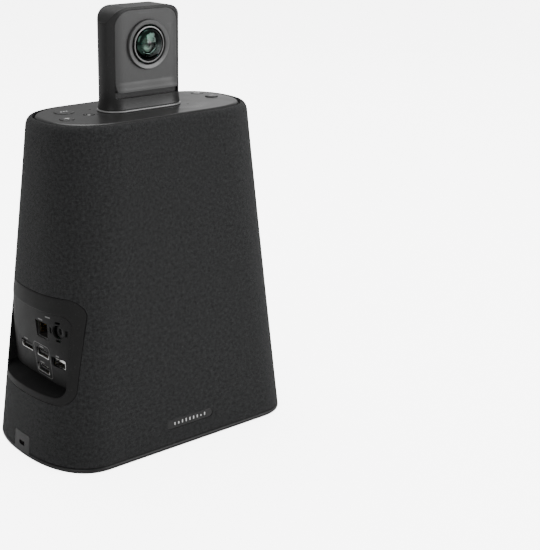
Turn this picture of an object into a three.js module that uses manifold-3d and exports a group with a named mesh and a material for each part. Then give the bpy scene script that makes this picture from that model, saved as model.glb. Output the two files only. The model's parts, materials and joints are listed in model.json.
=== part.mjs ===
// Tabletop conference camera: a tapered, fabric-covered speaker cabinet with a slab-shaped
// twin-lens head on top. Millimetres, +Z up, front face towards -Y, origin on the table
// under the middle of the cabinet.
import * as THREE from 'three';
import Module from 'manifold-3d';
import { mergeVertices } from 'three/addons/utils/BufferGeometryUtils.js';

const wasm = await Module();
wasm.setup();

// ---- Driving dimensions -------------------------------------------------------------------

// Cabinet envelope, measured on the outside of the fabric.
const bodyHeight = 242; // table to the face of the top plate
const baseHalfWidth = 108;
const baseHalfDepth = 61;
const baseStraight = 70; // half the straight stretch of the outline at the base
const shoulderHalfWidth = 85.6; // at the height of the top plate, if the walls ran on
const shoulderHalfDepth = 42.9;
const shoulderStraight = 38.5;
const outlinePower = 2.32; // superellipse power of the rounded ends
const far = baseHalfWidth + 20; // beyond every surface, for the reach of a cutting shape

// Clearances.
const seam = 0.3; // between pieces that touch in the real object
const runningGap = 0.35; // round a piece that slides
const stand = 0.1; // least gap left between a moving piece at rest and its stop

// Fabric sleeve, cabinet wall, base tray and feet.
const sleeveThickness = 1.3;
const wallThickness = 3;
const footHeight = 1.6; // tray's underside above the table
const footRecess = 0.9;
const footInnerEdge = 64.5; // inner end of each foot from the middle
const footInset = 3;
const rimHeight = 3.4;
const rimChamfer = 1.1; // upper edge
const rimUnderInset = 0.6; // lower edge
const rimUnderHeight = 0.5;
const locatingWall = 2;
const locatingHeight = 9;

// Lock tab on the left end of the tray.
const tabHalfWidth = 10;
const tabTop = 17.4;
const tabReach = 18; // how far in from the end of the cabinet its cuts run
const lockSlotWidth = 7;
const lockSlotHeight = 3;
const lockSlotZ = 9.6;
const lockPlateThickness = 1.6;
const lockPlateMargin = 2; // from the tab's edges to the plate's

// Fabric rim round the top plate.
const shoulderRadius = 6.4;
const rimWidth = 4.3;
const rimLand = 0.7; // from the rim's crest to where the fabric turns down
const rimLandFall = 0.4;
const rimDrop = 0.6; // rim's crest below the face of the plate
const foldDepth = 4.3; // lower edge of the tucked-in fabric below the face of the plate
const foldRoom = 0.5; // under the tucked-in edge
const foldStep = 3.7; // from there down to the plain wall
const foldShelf = 1.4; // width of the shelf under the tucked-in edge
const plateGap = 1.3;

// Top plate, its ledge and the well under it.
const plateThickness = 3.2;
const plateEdgeRadius = 2.8;
const plateUndercut = 0.8;
const ledgeInset = 9;
const wellDepth = 9.5;
const deckThickness = 3;

// Badge on the front.
const badgeLength = 41;
const badgeHeight = 6.4;
const badgeZ = 19.6;
const badgeSink = 0.2; // below the fabric's surface

// Port bay on the left end.
const bayHalfWidth = 46.4; // outside of the bezel
const bayTop = 124;
const bayBottom = 48.3;
const bayCorner = 12;
const pocketHalfWidth = 40;
const pocketTop = 112;
const pocketBottom = 53.2;
const pocketCorner = 8.5;
const pocketDepth = 13; // at the foot of the port panel
const panelFoot = 57.5; // height of the foot of the port panel
const panelTopDepth = 0.8;
const panelPower = 4; // the panel flattens towards its foot
const panelSideShare = 0.7; // of the panel's depth, by which its long sides draw in
const bayWall = 2;
const bayBoxInset = 0.5; // box of the bay behind the face of its flange
const boardX = -76; // outer face of the port board
const boardThickness = 1.6;
const bayRoom = 20; // from the port board's face to the inner end of the bay's box
const boardFrontMargin = 2;
const boardRearMargin = 10;
const boardTopMargin = 3;

// Sockets on the port board: width along Y, height along Z, wall, middle.
const socketSizes = {
  hdmi: { width: 15, height: 6, wall: 0.6, tongue: 1.6 },
  usb: { width: 13.6, height: 6.4, wall: 0.6, tongue: 1.9 },
  ethernet: { width: 13.4, height: 12, wall: 0.9, tongue: 0 },
};
const sockets = [
  { name: 'hdmi_socket_upper', kind: 'hdmi', y: -8.5, z: 77.5 },
  { name: 'hdmi_socket_lower', kind: 'hdmi', y: -6.5, z: 64.8 },
  { name: 'hdmi_socket_rear', kind: 'hdmi', y: 13, z: 77.5 },
  { name: 'usb_socket', kind: 'usb', y: -27, z: 75.5 },
  { name: 'ethernet_jack', kind: 'ethernet', y: -12.5, z: 97 },
];
const powerY = -29.5;
const powerZ = 99.5;
const powerBarrel = 4.6; // outer radius of the power socket
const powerBore = 3.2;
const powerPin = 1;
const powerSlotReach = 6.6; // from the socket's middle to each cable-grip slot
const powerSlotLength = 4.4;
const powerSlotWidth = 1.8;
const socketFloor = 2; // back wall of a socket
const tongueSetback = 1.2;
const tongueMargin = 2.4;
const powerPinSetback = 1;

// Screws that hold the tray.
const screwX = 58;
const screwInset = 14; // from the outline's flat side to the screw
const screwShank = 1.5;
const screwHead = 3;
const screwHeadDepth = 1.6; // counterbore in the tray
const screwSocket = 1;
const screwSocketDepth = 0.9;
const screwPoint = 1;
const screwLength = 14; // height of the boss above the tray
const screwEndGap = 2; // screw's point below the top of the boss
const pilotEndGap = 1.5;
const bossRadius = 4.5;
const webHalf = 1.5; // half the thickness of the web that ties a boss to the wall
const webSetback = 0.15; // web's end inside the wall's outer surface
const corners = [[-1, -1], [1, -1], [1, 1], [-1, 1]];

// Main board on the tray.
const boardHalfLength = 52;
const boardHalfDepth = 30;
const boardZ = 23.7;
const standoffRadius = 3;
const standoffInset = 6;
const sinkHalf = 19;
const sinkX = -30;
const sinkFins = 7;
const sinkFin = 1.5;
const sinkFoot = 3;
const sinkHeight = 12;

// Speaker driver in the front wall and passive radiator in the rear wall.
const driverZ = 96;
const flangeRadius = 36;
const baffleBore = 31;
const frameBore = 29.5;
const coneRadius = 23.2;
const driverDepth = 35; // outer surface of the cabinet to the back of the magnet
const magnetDepth = 13;
const magnetPlate = 3; // behind the magnet's ring slot
const magnetRadius = 20;
const poleRadius = 8;
const coilBore = 10.4;
const basketFloor = 1.4;
const basketWall = 1.4;
const flangeThickness = 2;
const rollThickness = 0.8;
const coneSheet = 0.8;
const coneThroat = 18; // throat of the cone in front of the back of the magnet
const capRise = 4.5; // dust cap's crown above the throat
const coilTail = 7; // rear end of the voice coil in front of the back of the magnet
const radiatorPlate = 1.6;
const radiatorWeight = 3.3; // weight on the back of the radiator's plate

// Head.
const headHalfWidth = 32.2;
const headHalfDepth = 11.5;
const headStraight = 18.3;
const headPower = 2.36;
const headHeight = 73.3; // face of the top plate to the top of the head
const headCorner = 16;
const headWall = 2.2;
const ringHeight = 1.1;
const ringMargin = 1.4;
const ringBevel = 0.5;
const plinthTop = 9.7;
const plinthFlare = 0.8;
const plinthWaist = 2.5; // height of the second ring of the flare above the first
const neckDepth = 3.2;
const neckLap = 2; // how far the groove and the cavity run past the face's lower edge
const faceHalfWidth = 27;
const faceBottom = 14;
const faceTop = 71.4;
const faceCorner = 12;
const faceFootCorner = 2;
const faceThickness = 3.5;
const faceSink = 0.2; // face behind the shell's surface
const lipReach = 1.9;
const lipHeight = 7.2;
// Lip along the face's foot: [share of its height, share of its reach].
const lipProfile = [[0, 0.84], [0.083, 1], [0.22, 0.75], [0.44, 0.3], [0.69, 0.03]];
const chimneyHalfWidth = 21;
const chimneyHalfDepth = 5.6;
const chimneyCorner = 3;
const chassisHalfWidth = 18;
const chassisThickness = 3;
const chassisTop = 64;
const chassisFootWidth = 24;
const chassisFootReach = 10.6;
const chassisFootHeight = 2.2;

// Lenses.
const lensZ = 46.4; // above the face of the top plate
const lensRingRadius = 17.4;
const lensRingBore = 14.2;
const lensRingReach = 2;
const ringCrown = 0.8; // rounding of the ring's front
const ringSink = 0.9; // ring's back behind the face
const barrelRadius = 12.9;
const barrelBore = 11.4;
const barrelReach = 1.9;
const barrelSeat = 0.6; // depth of the dome's edge inside the barrel
const barrelBevel = 0.4;
const domeRadius = 11;
const domeHeight = 4.4;
const domeThickness = 1.2;
const irisRadius = 6.6;
const irisDepth = 3.6; // iris behind the front of the barrel
const innerLensDepth = 2.4;
const innerLensEdge = 2;
const sensorBoardHalf = 14;
const sensorBoardThickness = 1;
const sensorGap = 0.8; // between the chassis and each sensor board
const chipHalfWidth = 4;
const chipHalfHeight = 3;
const chipHeight = 1;
const ribbonHalf = 6;
const ribbonThickness = 0.5;

// Buttons on the top plate: radius, middle, crown above the plate.
const buttons = [
  { name: 'button_left_large', radius: 7.5, x: -54.4, y: 14.8, crown: 0.7 },
  { name: 'button_left_front', radius: 5.5, x: -65.6, y: -7.2, crown: 0.7 },
  { name: 'button_right_rear', radius: 5, x: 66, y: 17.4, crown: 0.25 },
  { name: 'button_right_front', radius: 5.2, x: 66.3, y: 0, crown: 1 },
];
const buttonTravel = 0.5;
const buttonFlange = 0.8;
const stemRadius = 1.6;
const switchHalf = 3;
const switchHeight = 1.8;
const switchCap = 1.7; // radius
const switchBody = 1.4;
const controlBoardThickness = 1;
const controlBoardLift = 0.4; // above the floor of the well
const controlBoardReach = 9; // past the innermost button or window
const windowRadius = 3.8;
const windowX = -44.8;
const windowY = -2.8;
const microphoneBore = 0.6;
const microphones = [
  { x: -40, y: -6 },
  { x: 34, y: -13 },
  { x: -34, y: 13 },
  { x: 40, y: 6 },
];

// Facets.
const quarterSteps = 8; // facets per quarter of an outline
const roundSides = 24;
const smallSides = 12;
const buttonSides = 18;
const screwSides = 8;
const archSteps = 3;
const domeSteps = 3;
const edgeSteps = 3;
const foldSteps = 2;
const boreSides = 8;

// ---- Solids ---------------------------------------------------------------------------------

function faceOutwards(geometry) {
  const p = geometry.attributes.position;
  const index = geometry.index.array;
  const a = new THREE.Vector3();
  const b = new THREE.Vector3();
  const c = new THREE.Vector3();
  let volume = 0;
  for (let i = 0; i < index.length; i += 3) {
    a.fromBufferAttribute(p, index[i]);
    b.fromBufferAttribute(p, index[i + 1]);
    c.fromBufferAttribute(p, index[i + 2]);
    volume += a.dot(b.cross(c));
  }
  if (volume < 0) {
    for (let i = 0; i < index.length; i += 3) {
      [index[i + 1], index[i + 2]] = [index[i + 2], index[i + 1]];
    }
  }
  return geometry;
}

// A closed three.js geometry as a solid that can be joined and cut.
function solid(geometry) {
  const bare = geometry.clone();
  bare.deleteAttribute('normal');
  bare.deleteAttribute('uv');
  const merged = mergeVertices(bare, 1e-4);
  const kept = [];
  const index = merged.index.array;
  for (let i = 0; i < index.length; i += 3) {
    const [a, b, c] = [index[i], index[i + 1], index[i + 2]];
    if (a !== b && b !== c && c !== a) kept.push(a, b, c);
  }
  merged.setIndex(kept);
  faceOutwards(merged);
  return new wasm.Manifold(new wasm.Mesh({
    numProp: 3,
    vertProperties: new Float32Array(merged.attributes.position.array),
    triVerts: new Uint32Array(merged.index.array),
  }));
}

function geometryOf(body) {
  const mesh = body.getMesh();
  const geometry = new THREE.BufferGeometry();
  geometry.setAttribute('position', new THREE.BufferAttribute(mesh.vertProperties, 3));
  geometry.setIndex(new THREE.BufferAttribute(mesh.triVerts, 1));
  geometry.computeVertexNormals();
  return geometry;
}

function joined(first, ...others) {
  return others.reduce((sum, next) => sum.add(next), first);
}

function cut(first, ...others) {
  return others.reduce((rest, next) => rest.subtract(next), first);
}

// Box between two corners.
function block(x0, x1, y0, y1, z0, z1) {
  const geometry = new THREE.BoxGeometry(x1 - x0, y1 - y0, z1 - z0);
  return solid(geometry.translate((x0 + x1) / 2, (y0 + y1) / 2, (z0 + z1) / 2));
}

// Upright cylinder between two heights.
function post(x, y, z0, z1, radius, sides = smallSides) {
  const geometry = new THREE.CylinderGeometry(radius, radius, z1 - z0, sides);
  return solid(geometry.rotateX(Math.PI / 2).translate(x, y, (z0 + z1) / 2));
}

// Turned solid about Z from [radius, height] pairs that start and end on the axis or close.
function turnedGeometry(profile, sides = roundSides) {
  const points = profile.map(([radius, height]) => new THREE.Vector2(radius, height));
  if (profile[0][0] > 0) points.push(points[0].clone());
  return new THREE.LatheGeometry(points, sides).rotateX(Math.PI / 2);
}

function turned(profile, sides = roundSides) {
  return solid(turnedGeometry(profile, sides));
}

// Turned solid about Y: the heights of the profile run towards +Y.
function turnedAlongY(profile, sides = roundSides) {
  return solid(turnedGeometry(profile, sides).rotateX(-Math.PI / 2));
}

function roundedShape(x0, x1, y0, y1, lowerRadius, upperRadius) {
  const shape = new THREE.Shape();
  shape.moveTo(x0 + lowerRadius, y0);
  shape.lineTo(x1 - lowerRadius, y0);
  shape.absarc(x1 - lowerRadius, y0 + lowerRadius, lowerRadius, -Math.PI / 2, 0);
  shape.lineTo(x1, y1 - upperRadius);
  shape.absarc(x1 - upperRadius, y1 - upperRadius, upperRadius, 0, Math.PI / 2);
  shape.lineTo(x0 + upperRadius, y1);
  shape.absarc(x0 + upperRadius, y1 - upperRadius, upperRadius, Math.PI / 2, Math.PI);
  shape.lineTo(x0, y0 + lowerRadius);
  shape.absarc(x0 + lowerRadius, y0 + lowerRadius, lowerRadius, Math.PI, 1.5 * Math.PI);
  return shape;
}

// Rounded rectangle drawn in (Y, Z) and run along X.
function prismAlongX(y0, y1, z0, z1, lowerRadius, upperRadius, x0, x1) {
  const shape = roundedShape(y0, y1, z0, z1, lowerRadius, upperRadius);
  const geometry = new THREE.ExtrudeGeometry(shape, {
    depth: x1 - x0, bevelEnabled: false, curveSegments: 4,
  });
  const turn = new THREE.Matrix4().makeBasis(
    new THREE.Vector3(0, 1, 0), new THREE.Vector3(0, 0, 1), new THREE.Vector3(1, 0, 0),
  );
  return solid(geometry.applyMatrix4(turn).translate(x0, 0, 0));
}

// Rounded rectangle drawn in (X, Z) and run along Y.
function prismAlongY(x0, x1, z0, z1, lowerRadius, upperRadius, y0, y1) {
  const shape = roundedShape(x0, x1, z0, z1, lowerRadius, upperRadius);
  const geometry = new THREE.ExtrudeGeometry(shape, {
    depth: y1 - y0, bevelEnabled: false, curveSegments: 5,
  });
  return solid(geometry.rotateX(Math.PI / 2).translate(0, y1, 0));
}

// Rounded rectangle drawn in (X, Y) and run along Z.
function prismAlongZ(x0, x1, y0, y1, radius, z0, z1) {
  const shape = roundedShape(x0, x1, y0, y1, radius, radius);
  const geometry = new THREE.ExtrudeGeometry(shape, {
    depth: z1 - z0, bevelEnabled: false, curveSegments: 3,
  });
  return solid(geometry.translate(0, 0, z0));
}

// One closed outline at height z: straight sides with superelliptic ends.
function outlineRing({ halfX, halfY, straight, power }, z) {
  const ring = [];
  const reach = halfX - straight;
  for (let quarter = 0; quarter < 4; quarter += 1) {
    const signX = quarter === 0 || quarter === 3 ? 1 : -1;
    const signY = quarter < 2 ? 1 : -1;
    const forwards = quarter % 2 === 0;
    const sharesFirst = quarter === 1 || quarter === 3 ? 0 : 1;
    for (let step = 0; step <= quarterSteps; step += 1) {
      const fromEnd = forwards ? step : quarterSteps - step;
      const angle = (fromEnd / quarterSteps) * (Math.PI / 2);
      const along = fromEnd === quarterSteps ? 0 : Math.cos(angle) ** (2 / power);
      const across = fromEnd === 0 ? 0 : Math.sin(angle) ** (2 / power);
      if (fromEnd === 0 && !sharesFirst) continue;
      ring.push(new THREE.Vector3(signX * (straight + reach * along), signY * halfY * across, z));
    }
  }
  return ring;
}

// Skin through a row of rings. A closed loft joins the last ring to the first; an open one
// gets flat caps. Each facet is split from its lower left to its upper right whichever way the
// rings run, so that the two faces of a wall and the walls beside it stay parallel.
function loft(rings, closed = false) {
  const count = rings[0].length;
  const positions = rings.flat().flatMap((point) => [point.x, point.y, point.z]);
  const index = [];
  const spans = closed ? rings.length : rings.length - 1;
  for (let r = 0; r < spans; r += 1) {
    const lower = r * count;
    const upper = ((r + 1) % rings.length) * count;
    const falls = rings[upper / count][0].z < rings[r][0].z;
    for (let i = 0; i < count; i += 1) {
      const j = (i + 1) % count;
      if (falls) index.push(lower + i, lower + j, upper + i, lower + j, upper + j, upper + i);
      else index.push(lower + i, lower + j, upper + j, lower + i, upper + j, upper + i);
    }
  }
  if (!closed) {
    for (const [start, flip] of [[0, true], [(rings.length - 1) * count, false]]) {
      const middle = positions.length / 3;
      positions.push(0, 0, rings[start / count][0].z);
      for (let i = 0; i < count; i += 1) {
        const j = (i + 1) % count;
        if (flip) index.push(middle, start + j, start + i);
        else index.push(middle, start + i, start + j);
      }
    }
  }
  const geometry = new THREE.BufferGeometry();
  geometry.setAttribute('position', new THREE.Float32BufferAttribute(positions, 3));
  geometry.setIndex(index);
  return solid(geometry);
}

// ---- Cabinet surface ------------------------------------------------------------------------

// Outline of the cabinet at height z, drawn in by inset.
function bodyOutline(z, inset = 0) {
  const t = z / bodyHeight;
  return {
    halfX: THREE.MathUtils.lerp(baseHalfWidth, shoulderHalfWidth, t) - inset,
    halfY: THREE.MathUtils.lerp(baseHalfDepth, shoulderHalfDepth, t) - inset,
    straight: THREE.MathUtils.lerp(baseStraight, shoulderStraight, t),
    power: outlinePower,
  };
}

function bodyRing(inset, z) {
  return outlineRing(bodyOutline(z, inset), z);
}

// Heights where every wall has a ring, so that nested walls stay parallel.
const wallLevels = [0.25, 0.5, 0.75].map((share) => share * bodyHeight);

// Rings from [inset, z] pairs, with the wall levels filled in between them.
function wallRings(pairs) {
  const rings = [];
  pairs.forEach(([inset, z], i) => {
    rings.push(bodyRing(inset, z));
    if (i + 1 === pairs.length) return;
    const [nextInset, nextZ] = pairs[i + 1];
    const between = wallLevels.filter((level) => level > Math.min(z, nextZ) + 1
      && level < Math.max(z, nextZ) - 1);
    if (nextZ < z) between.reverse();
    for (const level of between) {
      const share = (level - z) / (nextZ - z);
      rings.push(bodyRing(THREE.MathUtils.lerp(inset, nextInset, share), level));
    }
  });
  return rings;
}

function bodySolid(inset, z0, z1) {
  return loft(wallRings([[inset, z0], [inset, z1]]));
}

// Front and rear walls lean back by this angle.
const lean = Math.atan2(baseHalfDepth - shoulderHalfDepth, bodyHeight);

// ---- Port bay surface -----------------------------------------------------------------------

function pocketDepthAt(z) {
  if (z >= pocketTop) return panelTopDepth;
  if (z >= panelFoot) {
    const share = (pocketTop - z) / (pocketTop - panelFoot);
    return THREE.MathUtils.lerp(panelTopDepth, pocketDepth, share);
  }
  const share = (z - pocketBottom) / (panelFoot - pocketBottom);
  return pocketDepth * share;
}

function pocketOutline(z, behind) {
  const depth = pocketDepthAt(z);
  const outline = bodyOutline(z);
  return {
    halfX: outline.halfX - depth - behind,
    halfY: outline.halfY - panelSideShare * depth - behind,
    straight: outline.straight,
    power: THREE.MathUtils.lerp(outlinePower, panelPower, Math.max(depth, 0) / pocketDepth),
  };
}

// Solid behind the floor of the port bay, set back by a further distance.
function pocketCore(behind) {
  const heights = [pocketBottom, panelFoot];
  const middle = wallLevels.filter((level) => level > panelFoot + 2 && level < pocketTop - 2);
  const above = [pocketTop, pocketTop + bayWall + seam];
  return loft([...heights, ...middle, ...above]
    .sort((a, b) => a - b)
    .map((z) => outlineRing(pocketOutline(z, behind), z)));
}

// X of the port panel's face at a place on it.
function panelX(y, z) {
  const { halfX, halfY, straight, power } = pocketOutline(z, 0);
  return -(straight + (halfX - straight) * (1 - (Math.abs(y) / halfY) ** power) ** (1 / power));
}

// ---- Materials ------------------------------------------------------------------------------

function finish(color, roughness, metalness = 0) {
  return new THREE.MeshStandardMaterial({ color, roughness, metalness });
}

const finishes = {
  fabric: finish(0x35363a, 0.95),
  housing: finish(0x3a3a3a, 0.55),
  plate: finish(0x4a4a4c, 0.4),
  inner: finish(0x222224, 0.7),
  rubber: finish(0x161616, 0.9),
  steel: finish(0xb8bcc0, 0.3, 1),
  aluminium: finish(0x8c9096, 0.4, 1),
  board: finish(0x1d5a3a, 0.6),
  glass: finish(0x10201c, 0.05),
  ring: finish(0x8f9294, 0.35),
  cone: finish(0x1c1c1e, 0.8),
};

// ---- Scene ----------------------------------------------------------------------------------

const conferenceCamera = new THREE.Group();

function place(name, shape, material, parent = conferenceCamera) {
  const geometry = shape.isBufferGeometry ? shape : geometryOf(shape);
  const mesh = new THREE.Mesh(geometry, finishes[material]);
  mesh.name = name;
  parent.add(mesh);
  return mesh;
}

// ---- Fabric sleeve --------------------------------------------------------------------------

const trayTop = footHeight + rimHeight;
const sleeveBottom = trayTop + seam;
const hair = 0.01; // keeps the two rounded corners of a full-round end apart

function sleeveShape() {
  const shoulderZ = bodyHeight - rimDrop - shoulderRadius;
  const crest = rimWidth - rimLand;
  const outer = Array.from({ length: edgeSteps + 1 }, (_, step) => {
    const angle = (step / edgeSteps) * (Math.PI / 2);
    return [crest * (1 - Math.cos(angle)), shoulderZ + shoulderRadius * Math.sin(angle)];
  });
  // The inner side stops short of the crest, where the tucked-in fabric begins.
  const innerTurn = 0.8 * (Math.PI / 2);
  const inner = Array.from({ length: foldSteps + 1 }, (_, step) => {
    const angle = (1 - step / foldSteps) * innerTurn;
    return [
      sleeveThickness + (crest - sleeveThickness + seam) * (1 - Math.cos(angle)),
      shoulderZ + (shoulderRadius - sleeveThickness) * Math.sin(angle),
    ];
  });
  const tuck = bodyHeight - foldDepth;
  const profile = [
    [0, sleeveBottom],
    ...outer,
    [rimWidth, bodyHeight - rimDrop - rimLandFall],
    [rimWidth, tuck],
    [rimWidth - sleeveThickness, tuck],
    ...inner,
    [sleeveThickness, sleeveBottom],
  ];
  return loft(wallRings(profile), true);
}

function bayPrism(grow) {
  return prismAlongX(
    -bayHalfWidth - grow, bayHalfWidth + grow, bayBottom - grow, bayTop + grow,
    bayCorner + grow, bayCorner + grow, -far, boardX + bayRoom,
  );
}

function pocketPrism(grow) {
  return prismAlongX(
    -pocketHalfWidth - grow, pocketHalfWidth + grow, pocketBottom - grow, pocketTop + grow,
    pocketCorner + grow, pocketCorner + grow, -far, boardX + bayRoom,
  );
}

function lockTabBlock(grow) {
  return block(
    -far, -baseHalfWidth + tabReach,
    -tabHalfWidth - grow, tabHalfWidth + grow, trayTop - 1, tabTop + grow,
  );
}

// Slot for the cable lock, through the tab and the plate behind it.
function lockSlot() {
  return block(
    -far, -baseHalfWidth + tabReach, -lockSlotWidth / 2, lockSlotWidth / 2,
    lockSlotZ - lockSlotHeight / 2, lockSlotZ + lockSlotHeight / 2,
  );
}

function badgePrism(grow) {
  const radius = badgeHeight / 2 + grow;
  return prismAlongY(
    -badgeLength / 2 - grow, badgeLength / 2 + grow,
    badgeZ - radius, badgeZ + radius, radius - hair, radius - hair, -far, 0,
  );
}

place('fabric_sleeve', cut(
  sleeveShape(), bayPrism(seam), lockTabBlock(seam), badgePrism(seam),
), 'fabric');

place('badge', bodySolid(badgeSink, badgeZ - badgeHeight, badgeZ + badgeHeight)
  .subtract(bodySolid(sleeveThickness, badgeZ - 2 * badgeHeight, badgeZ + 2 * badgeHeight))
  .intersect(badgePrism(0)), 'housing');

// ---- Base tray, feet and lock plate ---------------------------------------------------------

const wallOuter = sleeveThickness + seam;
const wallInner = wallOuter + wallThickness;
const screwY = baseHalfDepth - screwInset;
const screwPlaces = corners.map(([sx, sy]) => [sx * screwX, sy * screwY]);
const standoffPlaces = corners.map(([sx, sy]) => [
  sx * (boardHalfLength - standoffInset), sy * (boardHalfDepth - standoffInset),
]);

// Boss on the cabinet's wall for one of the tray's screws; with grow, the room round it.
function bossShape(x, y, grow) {
  const bottom = trayTop + seam - (grow > 0 ? 2 : 0);
  const top = trayTop + screwLength;
  const boss = post(x, y, bottom, top, bossRadius + grow);
  const webEnd = Math.sign(y) * (bodyOutline(top).halfY - wallOuter - webSetback);
  const web = block(
    x - webHalf - grow, x + webHalf + grow, Math.min(y, webEnd), Math.max(y, webEnd), bottom, top,
  );
  return joined(boss, web);
}

// Foot pad at one end, side -1 or 1.
function footSolid(side, grow, z0, z1) {
  const [inner, outer] = [side * (footInnerEdge - grow), side * far];
  const half = block(
    Math.min(inner, outer), Math.max(inner, outer), -baseHalfDepth, baseHalfDepth, z0 - 1, z1 + 1,
  );
  return bodySolid(footInset - grow, z0, z1).intersect(half);
}

function trayShape() {
  const plate = loft([
    bodyRing(rimUnderInset, footHeight),
    bodyRing(0, footHeight + rimUnderHeight),
    bodyRing(0, trayTop - rimChamfer),
    bodyRing(rimChamfer, trayTop),
  ]);
  const fence = cut(
    bodySolid(wallInner + seam, trayTop - 1, trayTop + locatingHeight),
    bodySolid(wallInner + seam + locatingWall, trayTop - 2, trayTop + locatingHeight + 1),
  );
  const bosses = screwPlaces.map(([x, y]) => bossShape(x, y, seam));
  const tab = bodySolid(0, trayTop - 1, tabTop)
    .subtract(bodySolid(sleeveThickness, trayTop - 2, tabTop + 1))
    .intersect(lockTabBlock(0));
  const standoffs = standoffPlaces.map(([x, y]) => (
    post(x, y, trayTop - 1, boardZ - seam, standoffRadius)
  ));
  const footPockets = [-1, 1].map((side) => (
    footSolid(side, seam, footHeight - 1, footHeight + footRecess)
  ));
  const screwHoles = screwPlaces.flatMap(([x, y]) => [
    post(x, y, 0, trayTop + 1, screwShank + seam),
    post(x, y, 0, footHeight + screwHeadDepth, screwHead + seam),
  ]);
  const body = joined(plate, cut(fence, ...bosses), tab, ...standoffs);
  return cut(body, lockSlot(), ...footPockets, ...screwHoles);
}

place('base_tray', trayShape(), 'housing');
for (const [name, side] of [['foot_left', -1], ['foot_right', 1]]) {
  const holes = screwPlaces.map(([x, y]) => (
    post(x, y, -1, footHeight + footRecess + 1, screwHead + 2 * seam)
  ));
  place(name, cut(footSolid(side, 0, 0, footHeight + footRecess - seam), ...holes), 'rubber');
}

const lockPlateHalf = tabHalfWidth - lockPlateMargin;
const lockPlateTop = tabTop - lockPlateMargin;

function lockPlateShape() {
  const plate = bodySolid(wallOuter, trayTop + 2 * seam, lockPlateTop)
    .subtract(bodySolid(wallOuter + lockPlateThickness, trayTop - 1, tabTop));
  const window = block(-far, -baseHalfWidth + tabReach, -lockPlateHalf, lockPlateHalf, 0, tabTop);
  return plate.intersect(window).subtract(lockSlot());
}

place('lock_plate', lockPlateShape(), 'steel');

screwPlaces.forEach(([x, y], i) => {
  const socket = footHeight + screwSocketDepth;
  const neck = footHeight + screwHeadDepth - seam;
  const end = trayTop + screwLength - screwEndGap;
  const screw = turned([
    [0, socket], [screwSocket, socket], [screwSocket, footHeight], [screwHead, footHeight],
    [screwHead, neck], [screwShank, neck], [screwShank, end - screwPoint], [0, end],
  ], screwSides);
  place(`base_screw_${i + 1}`, screw, 'steel').position.set(x, y, 0);
});

// ---- Cabinet halves -------------------------------------------------------------------------

// Turns a shape drawn about the speaker's axis into place: origin on the outer surface,
// +Y into the cabinet. side is 1 for the front wall and -1 for the rear wall.
function speakerMatrix(side) {
  const outward = bodyOutline(driverZ).halfY;
  const turn = new THREE.Matrix4().makeRotationX(-lean);
  const carry = new THREE.Matrix4().makeTranslation(0, -outward, driverZ);
  const face = new THREE.Matrix4().makeRotationZ(side > 0 ? 0 : Math.PI);
  return face.multiply(carry).multiply(turn);
}

function cabinetShape() {
  const ledgeZ = bodyHeight - plateThickness - seam;
  const foldFloor = bodyHeight - foldDepth - foldRoom;
  const ledgeOuter = rimWidth + foldRoom;
  const outer = loft(wallRings([
    [wallOuter, trayTop + seam],
    [wallOuter, foldFloor - foldStep],
    [ledgeOuter - foldShelf, foldFloor],
    [ledgeOuter, foldFloor],
    [ledgeOuter, ledgeZ],
  ]));
  const cavityTop = bodyHeight - wellDepth - deckThickness;
  const cavity = bodySolid(wallInner, trayTop - 1, cavityTop);
  const well = bodySolid(ledgeInset, bodyHeight - wellDepth, bodyHeight + 1);
  const slot = prismAlongZ(
    -chimneyHalfWidth, chimneyHalfWidth, -chimneyHalfDepth, chimneyHalfDepth, chimneyCorner,
    cavityTop - 1, bodyHeight - wellDepth + 1,
  );
  const bayHole = pocketPrism(bayWall + seam);
  const half = lockPlateHalf + seam;
  const lockHole = block(-far, -baseHalfWidth + tabReach, -half, half, 0, lockPlateTop + seam);
  const boreLength = 4 * wallInner; // reaches through the wall from its outer surface
  const bores = [1, -1].map((side) => {
    const bore = new THREE.CylinderGeometry(baffleBore, baffleBore, boreLength, roundSides);
    return solid(bore.applyMatrix4(speakerMatrix(side)));
  });
  const bosses = screwPlaces.map(([x, y]) => bossShape(x, y, 0));
  const pilotTop = trayTop + screwLength - pilotEndGap;
  const pilots = screwPlaces.map(([x, y]) => post(x, y, 0, pilotTop, screwShank + seam));
  const shell = cut(outer, cavity, well, slot, bayHole, lockHole, ...bores);
  return cut(joined(shell, ...bosses), ...pilots);
}

const cabinet = cabinetShape();
const frontRoom = block(-far, far, -far, -seam / 2, -1, bodyHeight + 1);
const rearRoom = block(-far, far, seam / 2, far, -1, bodyHeight + 1);
place('cabinet_front', cabinet.intersect(frontRoom), 'inner');
place('cabinet_rear', cabinet.intersect(rearRoom), 'inner');

// ---- Port bay -------------------------------------------------------------------------------

function bezelShape() {
  const flange = bodySolid(0, bayBottom - 1, bayTop + 1)
    .subtract(bodySolid(sleeveThickness, bayBottom - 2, bayTop + 2))
    .intersect(bayPrism(0));
  const box = bodySolid(bayBoxInset, pocketBottom - bayWall - 1, pocketTop + bayWall + 1)
    .intersect(pocketPrism(bayWall))
    .subtract(pocketCore(bayWall));
  const air = block(-far, boardX, -far, far, pocketBottom - 2, pocketTop + bayWall)
    .subtract(pocketCore(0))
    .intersect(pocketPrism(0));
  const panelHole = prismAlongX(
    -pocketHalfWidth, pocketHalfWidth, panelFoot + seam, pocketTop, hair, pocketCorner, -far, boardX,
  );
  return cut(joined(flange, box), air, panelHole);
}

place('port_bezel', bezelShape(), 'housing');

function socketOpening({ kind, y, z }, grow) {
  const { width, height } = socketSizes[kind];
  return block(
    -far, boardX + 1, y - width / 2 - grow, y + width / 2 + grow,
    z - height / 2 - grow, z + height / 2 + grow,
  );
}

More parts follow.
